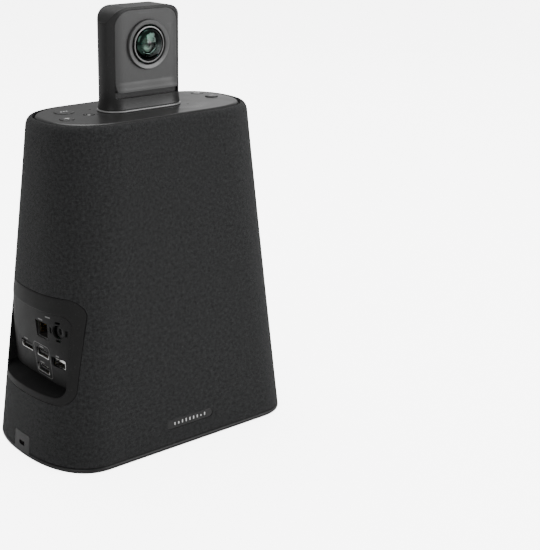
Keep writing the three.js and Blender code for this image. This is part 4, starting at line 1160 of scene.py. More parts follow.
@dataclass(frozen=True)
class Design:
    """Where things are, read from the frame, with the few sizes that a box can't give."""

    cabinet: Taper
    head: Taper
    plate_z: float  # face of the top plate
    sleeve_z: float  # lower edge of the cloth
    bay_low: Pair  # lower rear corner of the port bezel in (Y, Z)
    bay_high: Pair
    rim: float = 5.6  # from the cloth's outside to the top plate's edge
    bay_corner: float = 12.0
    pocket_low: Pair = (-40.0, 53.2)
    pocket_high: Pair = (40.0, 112.0)
    pocket_corner: float = 8.5
    pocket_depth: float = 13.0
    panel_foot: float = 57.5
    panel_top_depth: float = 0.8
    panel_power: float = 4.0

    @classmethod
    def from_frame(cls) -> "Design":
        """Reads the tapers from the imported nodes' boxes.

        Returns:
            The design.
        """
        sleeve, _ = node_box("fabric_sleeve")
        _, plate = node_box("top_plate")
        _, shell = node_box("head_shell")
        rim = cls.rim
        top_half = (plate.x + rim, plate.y + rim)
        low_half = (-sleeve.x, -sleeve.y)
        grow = plate.z / (plate.z - sleeve.z)
        base = [top + (low - top) * grow for top, low in zip(top_half, low_half)]
        cabinet = Taper((*base, 70.0), (*top_half, 38.5), plate.z, 2.32)
        half = (shell.x - 0.8, shell.y - 0.8, 18.3)
        low, high = node_box("port_bezel")
        head = Taper(half, half, shell.z, 2.36)
        return cls(cabinet, head, plate.z, sleeve.z, (low.y, low.z), (high.y, high.z))

    def floor_depth(self, z: float) -> float:
        """Returns how deep the port bay's floor lies under the cabinet's surface."""
        low, high = self.pocket_low[1], self.pocket_high[1]
        if z >= self.panel_foot:
            share = min((high - z) / (high - self.panel_foot), 1.0)
            return self.panel_top_depth + (self.pocket_depth - self.panel_top_depth) * max(share, 0.0)
        return self.pocket_depth * max(z - low, 0.0) / (self.panel_foot - low)

    def floor_x(self, y: float, z: float, lift: float = 0.0) -> float:
        """Returns the X of the bay's floor at a place, raised outwards by lift."""
        depth = self.floor_depth(z)
        half_x, half_y, straight = self.cabinet.at(z)
        power = self.cabinet.power + (self.panel_power - self.cabinet.power) * depth / self.pocket_depth
        half_x, half_y = half_x - depth, half_y - 0.7 * depth
        side = min(abs(y) / half_y, 1.0) ** power
        return -(straight + (half_x - straight) * (1 - side) ** (1 / power)) - lift

    def bay_loop(self, grow: float = 0.0) -> list[Pair]:
        """Returns the bezel's outer outline in (Y, Z), grown by some millimetres."""
        return self._loop(self.bay_low, self.bay_high, self.bay_corner, grow)

    def pocket_loop(self, grow: float = 0.0) -> list[Pair]:
        """Returns the bay's mouth in (Y, Z), grown by some millimetres."""
        return self._loop(self.pocket_low, self.pocket_high, self.pocket_corner, grow)

    @staticmethod
    def _loop(low: Pair, high: Pair, corner: float, grow: float) -> list[Pair]:
        """Returns a rounded outline grown by some millimetres."""
        low = (low[0] - grow, low[1] - grow)
        high = (high[0] + grow, high[1] + grow)
        return rounded_loop(low, high, (corner + grow, corner + grow), 12, 14)


# ---- Sub-assemblies -------------------------------------------------------------------------


@dataclass
class SubAssembly:
    """A group of pieces that are built and dressed together."""

    design: Design
    made: list[Object] = field(default_factory=list)

    def keep(self, piece: Object, finish: Finish | None, body: str = "housing",
             replaces: Sequence[str] = (), slot: str | None = None) -> Object:
        """Dresses a finished piece and hands it to the frame.

        Args:
            piece: the piece.
            finish: its finish, or None if its faces already have theirs.
            body: the body that it rides on.
            replaces: CAD nodes that it stands for.
            slot: the record's slot; not used.

        Returns:
            The piece.
        """
        if finish:
            piece.data.materials.clear()
            piece.data.materials.append(finish.material())
        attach(piece, body)
        if replaces:
            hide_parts(*replaces)
        self.made.append(piece)
        return piece

    def mesh(self) -> None:
        """Builds the pieces."""
        raise NotImplementedError

    def dress(self) -> None:
        """Gives carried-over CAD nodes their finishes. Most sub-assemblies carry none over."""

    def build(self) -> None:
        """Builds and dresses the sub-assembly, and logs its pieces."""
        self.mesh()
        self.dress()
        for piece in self.made:
            faces = len(piece.data.polygons)
            LOG.info("%s: %s, %d faces", type(self).__name__, piece.name, faces)


def dress_node(frame_nodes: dict[str, Object], node: str, finish: Finish) -> None:
    """Gives a CAD node that stays a better material through its slots."""
    piece = frame_nodes[node]
    for slot in piece.material_slots:
        slot.material = finish.material()
    if not piece.material_slots:
        piece.data.materials.append(finish.material())


@dataclass
class Sleeve(SubAssembly):
    """Speaker cloth stretched over the cabinet and tucked in round the top plate."""

    thickness: float = 1.3
    shoulder: float = 6.4
    crest: float = 3.6
    drop: float = 0.6
    tuck: float = 4.3
    hem: float = 0.5
    gap: float = 0.3
    badge_half: float = 20.5
    badge_radius: float = 3.2
    badge_z: float = 19.6
    tab_half: float = 10.0
    tab_top: float = 17.4

    def mesh(self) -> None:
        """Lofts the cloth, then opens it for the port bay, the badge and the lock tab."""
        design = self.design
        top = design.plate_z
        low = design.sleeve_z
        shoulder_z = top - self.drop - self.shoulder
        wall = [low + self.hem + (shoulder_z - low - self.hem) * k / 46 for k in range(47)]
        bend = [math.radians(90 * k / 12) for k in range(1, 13)]
        outer = [(self.thickness * 0.4, low), (self.hem * 0.3, low + self.hem * 0.3)]
        outer += [(0.0, z) for z in wall]
        outer += [(self.crest * (1 - math.cos(a)), shoulder_z + self.shoulder * math.sin(a)) for a in bend]
        lip = design.rim - self.thickness
        outer += [(lip - 0.3, top - self.drop - 0.15), (lip, top - self.drop - 0.7), (lip, top - self.tuck)]
        inner = [(lip - self.thickness, top - self.tuck)]
        thin = self.shoulder - self.thickness
        inner += [(self.thickness + (self.crest - self.thickness) * (1 - math.cos(a)),
                   shoulder_z + thin * math.sin(a))
                  for a in reversed(bend[:9])]
        inner += [(self.thickness, z) for z in (shoulder_z, (shoulder_z + low) / 2, low)]
        rows = [(inset, z, 1.0) for inset, z in outer + inner]
        cloth = design.cabinet.skin("cloth_sleeve", [*rows, rows[0]], CLOTH)
        end = -design.cabinet.base[0] - 5
        bay = prism("bay", design.bay_loop(self.gap), "X", end, end + 50)
        tab = box("tab", (end, -self.tab_half - self.gap, 0),
                  (end + 25, self.tab_half + self.gap, self.tab_top + self.gap))
        reach = self.badge_half + self.gap
        radius = self.badge_radius + self.gap
        pill = rounded_loop((-reach, self.badge_z - radius), (reach, self.badge_z + radius),
                            (radius * 0.999,) * 2)
        front = -design.cabinet.base[1] - 5
        badge = prism("badge", pill, "Y", front, front + 20)
        carve(cloth, [bay, tab, badge])
        cloth.data.materials.clear()
        cloth.data.materials.append(CLOTH.material())
        smooth(cloth, 40)
        self.keep(cloth, None, replaces=["fabric_sleeve"], slot="fabric")
        half_x, half_y, _ = design.cabinet.at(top / 2)


@dataclass
class Badge(SubAssembly):
    """Pill-shaped plate on the front, with a plain row of level bars on it."""

    half: float = 20.5
    radius: float = 3.2
    z: float = 19.6
    bars: int = 9
    bar_pitch: float = 3.4

    def mesh(self) -> None:
        """Cuts the plate from a lofted skin and sets the bars on its face."""
        taper = self.design.cabinet
        levels = [self.z - 8 + 16 * k / 12 for k in range(13)]
        wall = [(0.25, z) for z in levels] + [(1.25, levels[-1]), (1.25, levels[0])]
        plate = taper.skin("badge_plate", [*[(i, z, 1.0) for i, z in wall], (*wall[0], 1.0)], HOUSING)
        pill = rounded_loop((-self.half, self.z - self.radius), (self.half, self.z + self.radius),
                            (self.radius * 0.999,) * 2)
        carve(plate, [prism("pill", pill, "Y", -taper.base[1] - 5, -taper.base[1] + 20)], "INTERSECT")
        soften(plate, 0.3)
        face = -taper.at(self.z)[1] + 0.25
        bar = weld(box("bar", (-0.45, face - 0.07, -1.6), (0.45, face + 0.2, 1.6)))
        first = -self.bar_pitch * (self.bars - 1) / 2
        row = row_of("badge_bars", bar, self.bars, (first, 0, self.z), (self.bar_pitch, 0, 0), MARK,
                     swing=0.7)
        self.keep(plate, HOUSING, replaces=["badge"])
        self.keep(row, MARK)


@dataclass
class Base(SubAssembly):
    """Moulded tray with its lock tab, rubber feet and corner screws."""

    foot_height: float = 1.6
    rim_height: float = 3.4
    chamfer: float = 1.1
    under: Pair = (0.6, 0.5)
    foot_recess: float = 0.9
    foot_inner: float = 64.5
    foot_inset: float = 3.0
    tab_half: float = 10.0
    tab_top: float = 17.4
    tab_thickness: float = 1.3
    slot: Pair = (7.0, 3.0)
    slot_z: float = 9.6
    ribs: int = 9

    def mesh(self) -> None:
        """Builds the tray, the feet and the screws."""
        self.keep(self._tray(), HOUSING, replaces=["base_tray"])
        for name, side in (("left", -1), ("right", 1)):
            self.keep(self._foot(name, side), RUBBER, replaces=[f"foot_{name}"])
        self._screws()

    def _tray(self) -> Object:
        """Returns the tray with its rolled rim and the lock tab."""
        taper = self.design.cabinet
        low = self.foot_height
        top = low + self.rim_height
        rows = [(self.under[0], low), (0.15, low + self.under[1] * 0.6), (0.0, low + self.under[1])]
        rows += [(0.0, top - self.chamfer), (0.2, top - self.chamfer * 0.6), (self.chamfer, top)]
        tray = taper.skin("tray", solid_profile(rows), HOUSING)
        end = -taper.base[0] - 5
        recess = [self._pad(side, 0.3, low - 1, low + self.foot_recess) for side in (-1, 1)]
        carve(tray, recess)
        levels = [top - 1 + (self.tab_top - top + 1) * k / 10 for k in range(11)]
        wall = [(0.0, z) for z in levels] + [(self.tab_thickness, levels[-1]),
                                             (self.tab_thickness, levels[0])]
        tab = taper.skin("tab", [*[(i, z, 1.0) for i, z in wall], (*wall[0], 1.0)], HOUSING)
        keep = prism("keep",
                     rounded_loop((-self.tab_half, top - 3), (self.tab_half, self.tab_top), (0.1, 1.2)),
                     "X", end, end + 25)
        carve(tab, [keep], "INTERSECT")
        width, height = self.slot
        hole = rounded_loop((-width / 2, self.slot_z - height / 2), (width / 2, self.slot_z + height / 2),
                            (0.7, 0.7))
        carve(tab, [prism("hole", hole, "X", end, end + 25)])
        soften(tray, 0.25)
        soften(tab, 0.35)
        return merged("base_rim", [tray, tab])

    def _pad(self, side: int, grow: float, low: float, high: float) -> Object:
        """Returns a foot's solid at one end.

        Args:
            side: -1 for the left end, 1 for the right.
            grow: how much larger than the foot it is.
            low: its lower height.
            high: its upper height.

        Returns:
            The solid.
        """
        taper = self.design.cabinet
        pad = taper.skin("pad", solid_profile([(self.foot_inset - grow, low),
                                               (self.foot_inset - grow, high)]), RUBBER)
        ends = sorted((side * (self.foot_inner - grow), side * (taper.base[0] + 5)))
        depth = taper.base[1] + 5
        return carve(pad, [box("end", (ends[0], -depth, low - 1), (ends[1], depth, high + 1))], "INTERSECT")

    def _foot(self, name: str, side: int) -> Object:
        """Returns a foot with grip ribs along its inner edge."""
        pad = soften(self._pad(side, 0.0, 0.45, self.foot_height + self.foot_recess - 0.3), 0.4)
        smooth(pad)
        x = side * (self.foot_inner + 14)
        rib = soften(box("rib", (-9, -1.4, 0.0), (9, 1.4, 0.6)), 0.25)
        pitch = 9.0
        start = (x, -pitch * (self.ribs - 1) / 2, 0.0)
        ribs = row_of("ribs", rib, self.ribs, start, (0, pitch, 0), RUBBER)
        return merged(f"rubber_foot_{name}", [pad, ribs])

    def _screws(self) -> None:
        """Builds the four cross-head screws under the tray."""
        low, high = node_box("base_screw_3")
        centre = (low + high) / 2
        radius = (high.x - low.x) / 2
        head = [(0, 0.2), (radius * 0.75, 0.0), (radius, 0.35), (radius, 1.2), (1.5, 1.3),
                (1.5, high.z - low.z), (0, high.z - low.z)]
        screw = lathe("screw", head, (0, 0, 0), sides=28)
        arms = [box("arm", (-a, -b, -1), (a, b, 0.9)) for a,
                b in ((radius * 0.62, 0.35), (0.35, radius * 0.62))]
        smooth(carve(screw, arms))
        made = run_tree("base_screws", Trees.get("corners"), {
            "Element": screw, "Half X": centre.x * MM, "Half Y": centre.y * MM, "Z": low.z * MM,
            "Finish": STEEL.material(),
        })
        bpy.data.objects.remove(screw)
        self.keep(made, STEEL, replaces=[f"base_screw_{k}" for k in range(1, 5)])


class Port(Enum):
    """Kinds of socket in the port bay."""

    VIDEO = "hdmi_socket"
    USB = "usb_socket"
    NETWORK = "ethernet_jack"


@dataclass
class PortBay(SubAssembly):
    """Bezel, hollowed floor and port panel in the left end of the cabinet."""

    lip: float = 0.5
    roll: float = 0.22
    painted_shade_depth: float = 0.12  # below the surface, where the painted shade on the bezel's outer edge begins
    skin: float = 0.6  # thickness of the bezel's wall
    sheet: float = 1.6
    gap: float = 0.3
    slot_reach: float = 6.6
    slot_half: Pair = (2.2, 0.9)
    sockets: tuple[tuple[str, Port], ...] = (
        ("hdmi_socket_upper", Port.VIDEO), ("hdmi_socket_lower", Port.VIDEO),
        ("hdmi_socket_rear", Port.VIDEO),
        ("usb_socket", Port.USB), ("ethernet_jack", Port.NETWORK),
    )

    def mesh(self) -> None:
        """Builds the bezel, the panel, the sockets and the print."""
        self.keep(self._bezel(), None, replaces=["port_bezel"], slot="housing")
        self.keep(self._panel(), BAY, replaces=["port_panel"])
        for node, kind in self.sockets:
            self._socket(node, kind)
        self._power()
        self._print()

    def _bezel(self) -> Object:
        """Returns the bezel: rolled outer edge, flat band, rolled mouth, walls and sloping shelf."""
        design = self.design
        outer = design.bay_loop()
        mouth = design.pocket_loop()

        def on_surface(loop: Sequence[Pair], inset: float) -> list[Point]:
            """Lays an outline on the cabinet's surface, drawn in by inset."""
            return [(design.cabinet.end_x(y, z, inset), y, z) for y, z in loop]

        rings = [on_surface(outer, 1.3)]
        for angle in (0, 30, 60, 90):
            turn = math.radians(angle)
            edge = design.bay_loop(-self.roll * (1 - math.cos(turn)))
            rings.append(on_surface(edge, self.roll * (1 - math.sin(turn))))
        band = 8
        inner = design.pocket_loop(self.lip)
        start = design.bay_loop(-self.roll)
        for k in range(1, band + 1):
            share = k / band
            loop = [(a + (c - a) * share, b + (d - b) * share) for (a, b), (c, d) in zip(start, inner)]
            rings.append(on_surface(loop, 0.0))
        for angle in (30, 60, 90):
            turn = math.radians(angle)
            loop = design.pocket_loop(self.lip * (1 - math.sin(turn)))
            rings.append(on_surface(loop, self.lip * (1 - math.cos(turn))))
        start_x = [point[0] for point in rings[-1]]
        for k in range(1, 6):
            share = k / 5
            rings.append([(x + (max(design.floor_x(y, z, -0.4), x) - x) * share, y, z)
                          for x, (y, z) in zip(start_x, mouth)])
        foot = design.panel_foot + 0.2
        for k in range(1, 11):
            share = k / 10
            row = []
            for x, (y, z) in zip([point[0] for point in rings[-1]], mouth):
                height = z + (foot - z) * share if z < foot else z
                row.append((max(design.floor_x(y, height), x) if z < foot else x, y, height))
            rings.append(row)
        bezel = weld(skin("bezel", rings, caps=False), outwards=False)
        self._face_left(bezel)
        wall = bezel.modifiers.new("wall", "SOLIDIFY")
        wall.thickness = self.skin * MM
        wall.offset = -1.0
        bake(bezel)
        bezel.data.materials.clear()
        # Slot 1 is the near-black painted shade, for the sloping shelf and for the bezel's outer edge under
        # the cloth; the rest keep the bay's moulding colour.
        for finish in (BAY, SHELF_PAINTED_SHADE):
            bezel.data.materials.append(finish.material())
        for face in bezel.data.polygons:
            x, y, z = face.center / MM
            depth = x - design.cabinet.end_x(y, z)
            shelf = depth > self.lip * 0.6 and z < design.panel_foot + 0.1
            # Faces of the outer edge that sink under the cloth, deeper than painted_shade_depth, take the
            # near-black painted shade.
            outside = abs(y) > design.pocket_high[0] + 1 or not (
                design.pocket_low[1] - 1 < z < design.pocket_high[1] + 1)
            face.material_index = int(shelf or (outside and depth > self.painted_shade_depth))
        return smooth(bezel, 40)

    @staticmethod
    def _face_left(piece: Object) -> None:
        """Turns an open skin over if most of it faces away from the left end."""
        lean = sum(face.normal.x * face.area for face in piece.data.polygons)
        if lean > 0:
            piece.data.flip_normals()

    def _panel(self) -> Object:
        """Returns the port panel with its openings."""
        design = self.design
        low, high = design.panel_foot + 0.4, design.pocket_high[1] - 0.15
        half, corner = design.pocket_high[0] - 0.2, design.pocket_corner
        rows, columns = 30, 48
        front: list[list[Point]] = []
        for r in range(rows + 1):
            z = low + (high - low) * math.sin(math.pi / 2 * r / rows)
            over = max(z - (high - corner), 0.0)
            width = half - corner + math.sqrt(max(corner ** 2 - over ** 2, 0.0))
            front.append([(design.floor_x(y, z), y, z)
                          for y in (width * (2 * c / columns - 1) for c in range(columns + 1))])
        back = [[(x + self.sheet, y, z) for x, y, z in row] for row in front]
        rings = [back[r] + front[r][::-1] for r in range(rows + 1)]
        panel = weld(skin("port_face", rings))
        end = -design.cabinet.base[0]
        cutters = []
        for node, kind in self.sockets:
            a, b = node_box(node)
            radius = 0.5 if kind is Port.NETWORK else 1.3
            loop = rounded_loop((a.y - self.gap, a.z - self.gap), (b.y + self.gap, b.z + self.gap),
                                (radius, radius), 5)
            cutters.append(prism("hole", loop, "X", end, end + 60))
        a, b = node_box("power_socket")
        centre = (a + b) / 2
        radius = (b.y - a.y) / 2 + self.gap
        ring = arc((centre.y, centre.z), radius, 0, 350, 35)
        cutters.append(prism("round", ring, "X", end, end + 60))
        long, short = self.slot_half
        for dy, dz in ((0, 1), (0, -1), (1, 0), (-1, 0)):
            y, z = centre.y + dy * self.slot_reach, centre.z + dz * self.slot_reach
            hy, hz = (long, short) if dz else (short, long)
            loop = rounded_loop((y - hy, z - hz), (y + hy, z + hz), (0.5, 0.5), 4)
            cutters.append(prism("slot", loop, "X", end, end + 60))
        carve(panel, cutters)
        return soften(panel, 0.18)

    def _tube(self, name: str, outer: Sequence[Pair], inner: Sequence[Pair], ends: Pair) -> Object:
        """Returns a socket shell along X, open at its mouth and closed at its back.

        Args:
            name: the shell's name.
            outer: its outside in (Y, Z).
            inner: its inside.
            ends: X of the mouth and of the back.

        Returns:
            The shell.
        """
        mouth, back = ends
        path = [(outer, back), (outer, mouth + 0.15), (outer, mouth), (inner, mouth), (inner, back - 1.5)]
        rings = [[(x, y, z) for y, z in loop] for loop, x in path]
        return smooth(weld(skin(name, rings)), 30)

    def _socket(self, node: str, kind: Port) -> None:
        """Builds one socket: shell, tongue and a row of contacts.

        Args:
            node: the CAD node that it stands for.
            kind: what sort of socket it is.
        """
        low, high = node_box(node)
        wall, radius = {Port.VIDEO: (0.45, 1.1), Port.USB: (0.4, 0.5), Port.NETWORK: (0.8, 0.4)}[kind]
        outer = rounded_loop((low.y, low.z), (high.y, high.z), (radius, radius * 0.6), 5)
        inner = rounded_loop((low.y + wall, low.z + wall), (high.y - wall, high.z - wall),
                             (max(radius - wall * 0.5, 0.2), 0.3), 5)
        shell = self._tube(f"{node}_shell", outer, inner, (low.x, high.x))
        self.keep(shell, INNER if kind is Port.NETWORK else STEEL, replaces=[node])
        middle = (low + high) / 2
        width = high.y - low.y - 2 * wall
        if kind is Port.NETWORK:
            self._contacts(node, 8, 1.0, (low.x + 1.0, high.y - wall - 0.8, middle.z - 3.5),
                           (5.5, 0.7, 0.5), "Z")
            return
        half, thick, pins = {Port.VIDEO: (width / 2 - 1.6, 0.75, 9),
                             Port.USB: (width / 2 - 0.7, 0.95, 4)}[kind]
        drop = 0.0 if kind is Port.VIDEO else 0.9
        tongue = box("tongue", (low.x + 1.0, middle.y - half, middle.z - thick + drop),
                     (high.x - 1.2, middle.y + half, middle.z + thick + drop))
        self.keep(self._named(soften(tongue, 0.2), f"{node}_tongue"), STEEL if kind is Port.USB else INNER)
        pitch = (2 * half - 1.0) / pins
        start = (low.x + 1.3, middle.y - pitch * (pins - 1) / 2, middle.z - thick - 0.1 + drop)
        self._contacts(node, pins, pitch, start, (4.5, pitch * 0.5, 0.14))

    @staticmethod
    def _named(piece: Object, name: str) -> Object:
        """Renames a piece and its mesh and returns it."""
        piece.name = name
        piece.data.name = name
        return piece

    def _contacts(self, node: str, count: int, pitch: float, start: Point, size: Point,
                  along: str = "Y") -> None:
        """Adds a row of gilt contacts.

        Args:
            node: the socket's name.
            count: how many contacts.
            pitch: distance between them.
            start: the first contact's front lower middle.
            size: each contact's length, width and height.
            along: axis of the row.
        """
        length, width, height = size
        step = (0, pitch, 0) if along == "Y" else (0, 0, pitch)
        blade = weld(box("blade", (0, -width / 2, 0), (length, width / 2, height)))
        row = row_of(f"{node}_contacts", blade, count, start, step, GOLD)
        self.keep(row, GOLD)

    def _power(self) -> None:
        """Builds the round power socket with its centre pin."""
        low, high = node_box("power_socket")
        centre = (low + high) / 2
        radius = (high.y - low.y) / 2
        bore = radius * 0.5
        profile = [(radius, high.x), (radius, low.x + 0.3), (radius - 0.3, low.x), (bore + 0.3, low.x)]
        profile += [(bore, low.x + 0.4), (bore, high.x - 2), (0.95, high.x - 2), (0.95, low.x + 1.8)]
        profile += [(0.6, low.x + 1.2), (0, low.x + 1.2), (0, high.x)]
        barrel = self._along_x("power_barrel", profile, centre)
        self.keep(barrel, INNER, replaces=["power_socket"])
        pin = self._along_x("power_pin", [(0, low.x + 1.0), (0.7, low.x + 1.15), (1.0, low.x + 1.7),
                                          (1.0, high.x - 2.2), (0, high.x - 2.2)], centre)
        self.keep(pin, INNER)

    @staticmethod
    def _along_x(name: str, profile: Sequence[Pair], centre: Vector) -> Object:
        """Turns (radius, X) pairs about a line along X through a place."""
        rings = []
        for radius, x in profile:
            rings.append([(x, centre.y + radius * math.cos(2 * math.pi * k / 40),
                           centre.z + radius * math.sin(2 * math.pi * k / 40)) for k in range(40)])
        rings.append(rings[0])
        return smooth(weld(skin(name, rings, caps=False)), 30)

    def _print(self) -> None:
        """Lays a plain dash over each socket and a thin frame round the middle pair."""
        dashes = []
        for node, kind in self.sockets:
            low, high = node_box(node)
            half = 2.6 if kind is not Port.USB else 1.6
            middle = (low.y + high.y) / 2
            dashes.append(((middle - half, high.z + 1.5), (middle + half, high.z + 2.5)))
        low, high = node_box("power_socket")
        dashes.append(((low.y + 10.6, high.z + 4.0), (low.y + 15.6, high.z + 5.0)))
        self.keep(merged("port_marks", [self._decal(a, b) for a, b in dashes]), FAINT)
        first, _ = node_box("hdmi_socket_lower")
        last, top = node_box("hdmi_socket_upper")
        low_corner = (min(first.y, last.y) - 2.2, first.z - 2.2)
        high_corner = (max(top.y, first.y + 15) + 1.2, top.z + 4.0)
        outer = rounded_loop(low_corner, high_corner, (3, 3), 6, 10)
        inner = rounded_loop((low_corner[0] + 0.35, low_corner[1] + 0.35),
                             (high_corner[0] - 0.35, high_corner[1] - 0.35), (2.65, 2.65), 6, 10)
        design = self.design
        rings = []
        for loop, lift in ((outer, -0.1), (outer, 0.1), (inner, 0.1), (inner, -0.1), (outer, -0.1)):
            rings.append([(design.floor_x(y, z, lift), y, z) for y, z in loop])
        frame = weld(skin("pair_frame", rings, caps=False))
        self.keep(smooth(frame), FAINT)

    def _decal(self, low: Pair, high: Pair) -> Object:
        """Returns a thin raised dash that follows the panel."""
        loop = rounded_loop(low, high, (0.4, 0.4), 3, 4)
        rings = [[(self.design.floor_x(y, z, lift), y, z) for y, z in loop] for lift in (-0.1, 0.06)]
        return weld(skin("dash", rings))


@dataclass
class TopPlate(SubAssembly):
    """Satin plate with rounded edges, its window and its microphone holes."""

    thickness: float = 3.2
    edge: float = 2.8
    window_lift: float = 0.12
    microphones: tuple[Pair, ...] = ((-40, -6), (34, -13), (-34, 13), (40, 6))
    microphone_radius: float = 0.7

    def mesh(self) -> None:
        """Lofts the plate and bores it for the controls."""
        design = self.design
        top = design.plate_z
        half_x, half_y, straight = design.cabinet.at(top)
        level = (half_x - design.rim, half_y - design.rim, straight)
        taper = Taper(level, level, top, design.cabinet.power)
        bend = [math.radians(90 * k / 8) for k in range(1, 9)]
        rows = [(0.8, top - self.thickness), (0.0, top - self.edge)]
        rows += [(self.edge * (1 - math.cos(a)), top - self.edge * (1 - math.sin(a))) for a in bend]
        plate = taper.skin("control_plate", solid_profile(rows), PLATE)
        cutters = []
        for node in (*Controls.bodies, "indicator_window"):
            low, high = node_box(node)
            flange = 0.8 if node in Controls.bodies else 0.5
            radius = (high.x - low.x) / 2 - flange
            cutters.append(self._post((low + high) / 2, radius, 64))
        cutters += [self._post(Vector((x, y, 0)), self.microphone_radius, 20) for x, y in self.microphones]
        carve(plate, cutters)
        self.keep(soften(plate, 0.22), PLATE, replaces=["top_plate"])
        low, high = node_box("indicator_window")
        centre = (low + high) / 2
        radius = (high.x - low.x) / 2 - 1.1
        base = low.z
        window = lathe("status_window", [
            (0, base), (radius, base), (radius, top - 0.1), (radius - 0.3, top + self.window_lift),
            (radius - 0.9, top + self.window_lift), (radius - 1.2, top - 0.15), (0, top - 0.1),
        ], (centre.x, centre.y, 0), sides=48)
        self.keep(smooth(window), PLATE, replaces=["indicator_window"])
        lamp = lathe("status_lamp", [(0, top - 0.3), (1.2, top - 0.3), (1.2, top - 0.05), (0.8, top + 0.12),
                                     (0, top + 0.18)],
                     (centre.x, centre.y, 0), sides=32)
        self.keep(smooth(lamp), LIGHT_RING)

    def _post(self, centre: Vector, radius: float, sides: int) -> Object:
        """Returns an upright cutter through the plate."""
        top = self.design.plate_z
        return prism("post", arc((centre.x, centre.y), radius, 0, 360 - 360 / sides, sides - 1), "Z",
                     top - 8, top + 4)


class Symbol(Enum):
    """Plain signs printed on the buttons."""

    RING = "ring"
    BAR = "bar"
    CROSS = "cross"
    DOTS = "dots"


@dataclass
class Controls(SubAssembly):
    """Push buttons in the top plate, each with a plain sign and a stem."""

    bodies = {
        "button_left_large": "key_left_large", "button_left_front": "key_left_front",
        "button_right_rear": "key_right_rear", "button_right_front": "key_right_front",
    }
    symbols = {
        "button_left_large": Symbol.DOTS, "button_left_front": Symbol.CROSS,
        "button_right_rear": Symbol.RING, "button_right_front": Symbol.BAR,
    }
    flange: float = 0.8
    gap: float = 0.35

    def mesh(self) -> None:
        """Builds each button on its own body."""
        for node, body in self.bodies.items():
            self._button(node, body)

    def _button(self, node: str, body: str) -> None:
        """Builds one button and its sign.

        Args:
            node: the CAD node that it stands for.
            body: the body that it rides on.
        """
        low, high = node_box(node)
        centre = (low + high) / 2
        radius = (high.x - low.x) / 2 - self.flange
        cap = radius - self.gap
        top = self.design.plate_z
        crown = high.z - top
        flange_z = top - 3.5
        roll = min(0.45, crown * 0.6)
        dish = [(cap * s, top + crown * (1 - 0.32 * s * s)) for s in (0.9, 0.75, 0.6, 0.45, 0.3, 0.15)]
        profile = [(0, low.z), (1.6, low.z), (1.6, flange_z - 0.8),
                   (cap + self.gap + self.flange, flange_z - 0.8),
                   (cap + self.gap + self.flange, flange_z), (cap, flange_z), (cap, top + 0.1 * crown)]
        profile += [(cap - roll * (1 - math.cos(a)), top + crown * (0.1 + 0.52 * math.sin(a)))
                    for a in (math.radians(d) for d in (30, 60, 90))]
        button = lathe(f"key_{node}", [*profile, *dish, (0, high.z)], (centre.x, centre.y, 0), sides=64)
        self.keep(smooth(button), PLATE, body, [node])
        sign = self._sign(self.symbols[node], centre, cap * 0.42, high.z)
        sign.name = f"sign_{node}"
        self.keep(sign, MARK, body)

    def _sign(self, symbol: Symbol, centre: Vector, size: float, top: float) -> Object:
        """Returns a sign as thin raised print.

        Args:
            symbol: which sign.
            centre: the button's middle.
            size: the sign's half width.
            top: height of the button's crown.

        Returns:
            The sign.
        """
        x, y = centre.x, centre.y
        low, high = top - 0.22, top + 0.005
        if symbol is Symbol.RING:
            profile = [(size, low), (size, high), (size * 0.72, high), (size * 0.72, low)]
            return smooth(lathe("ring", profile, (x, y, 0), sides=40))
        if symbol is Symbol.DOTS:
            dots = [lathe("dot", [(0, low), (size * 0.24, low), (size * 0.24, high), (0, high)],
                          (x + k * size * 0.75, y, 0), sides=20) for k in (-1, 0, 1)]
            return smooth(merged("dots", dots))
        bar = prism("bar", rounded_loop((x - size, y - size * 0.16), (x + size, y + size * 0.16),
                                        (size * 0.15,) * 2, 4), "Z", low, high)
        if symbol is Symbol.BAR:
            return smooth(bar)
        upright = prism("upright", rounded_loop((x - size * 0.16, y - size), (x + size * 0.16, y + size),
                                                (size * 0.15,) * 2, 4), "Z", low, high)
        return smooth(carve(bar, [upright], "UNION"))


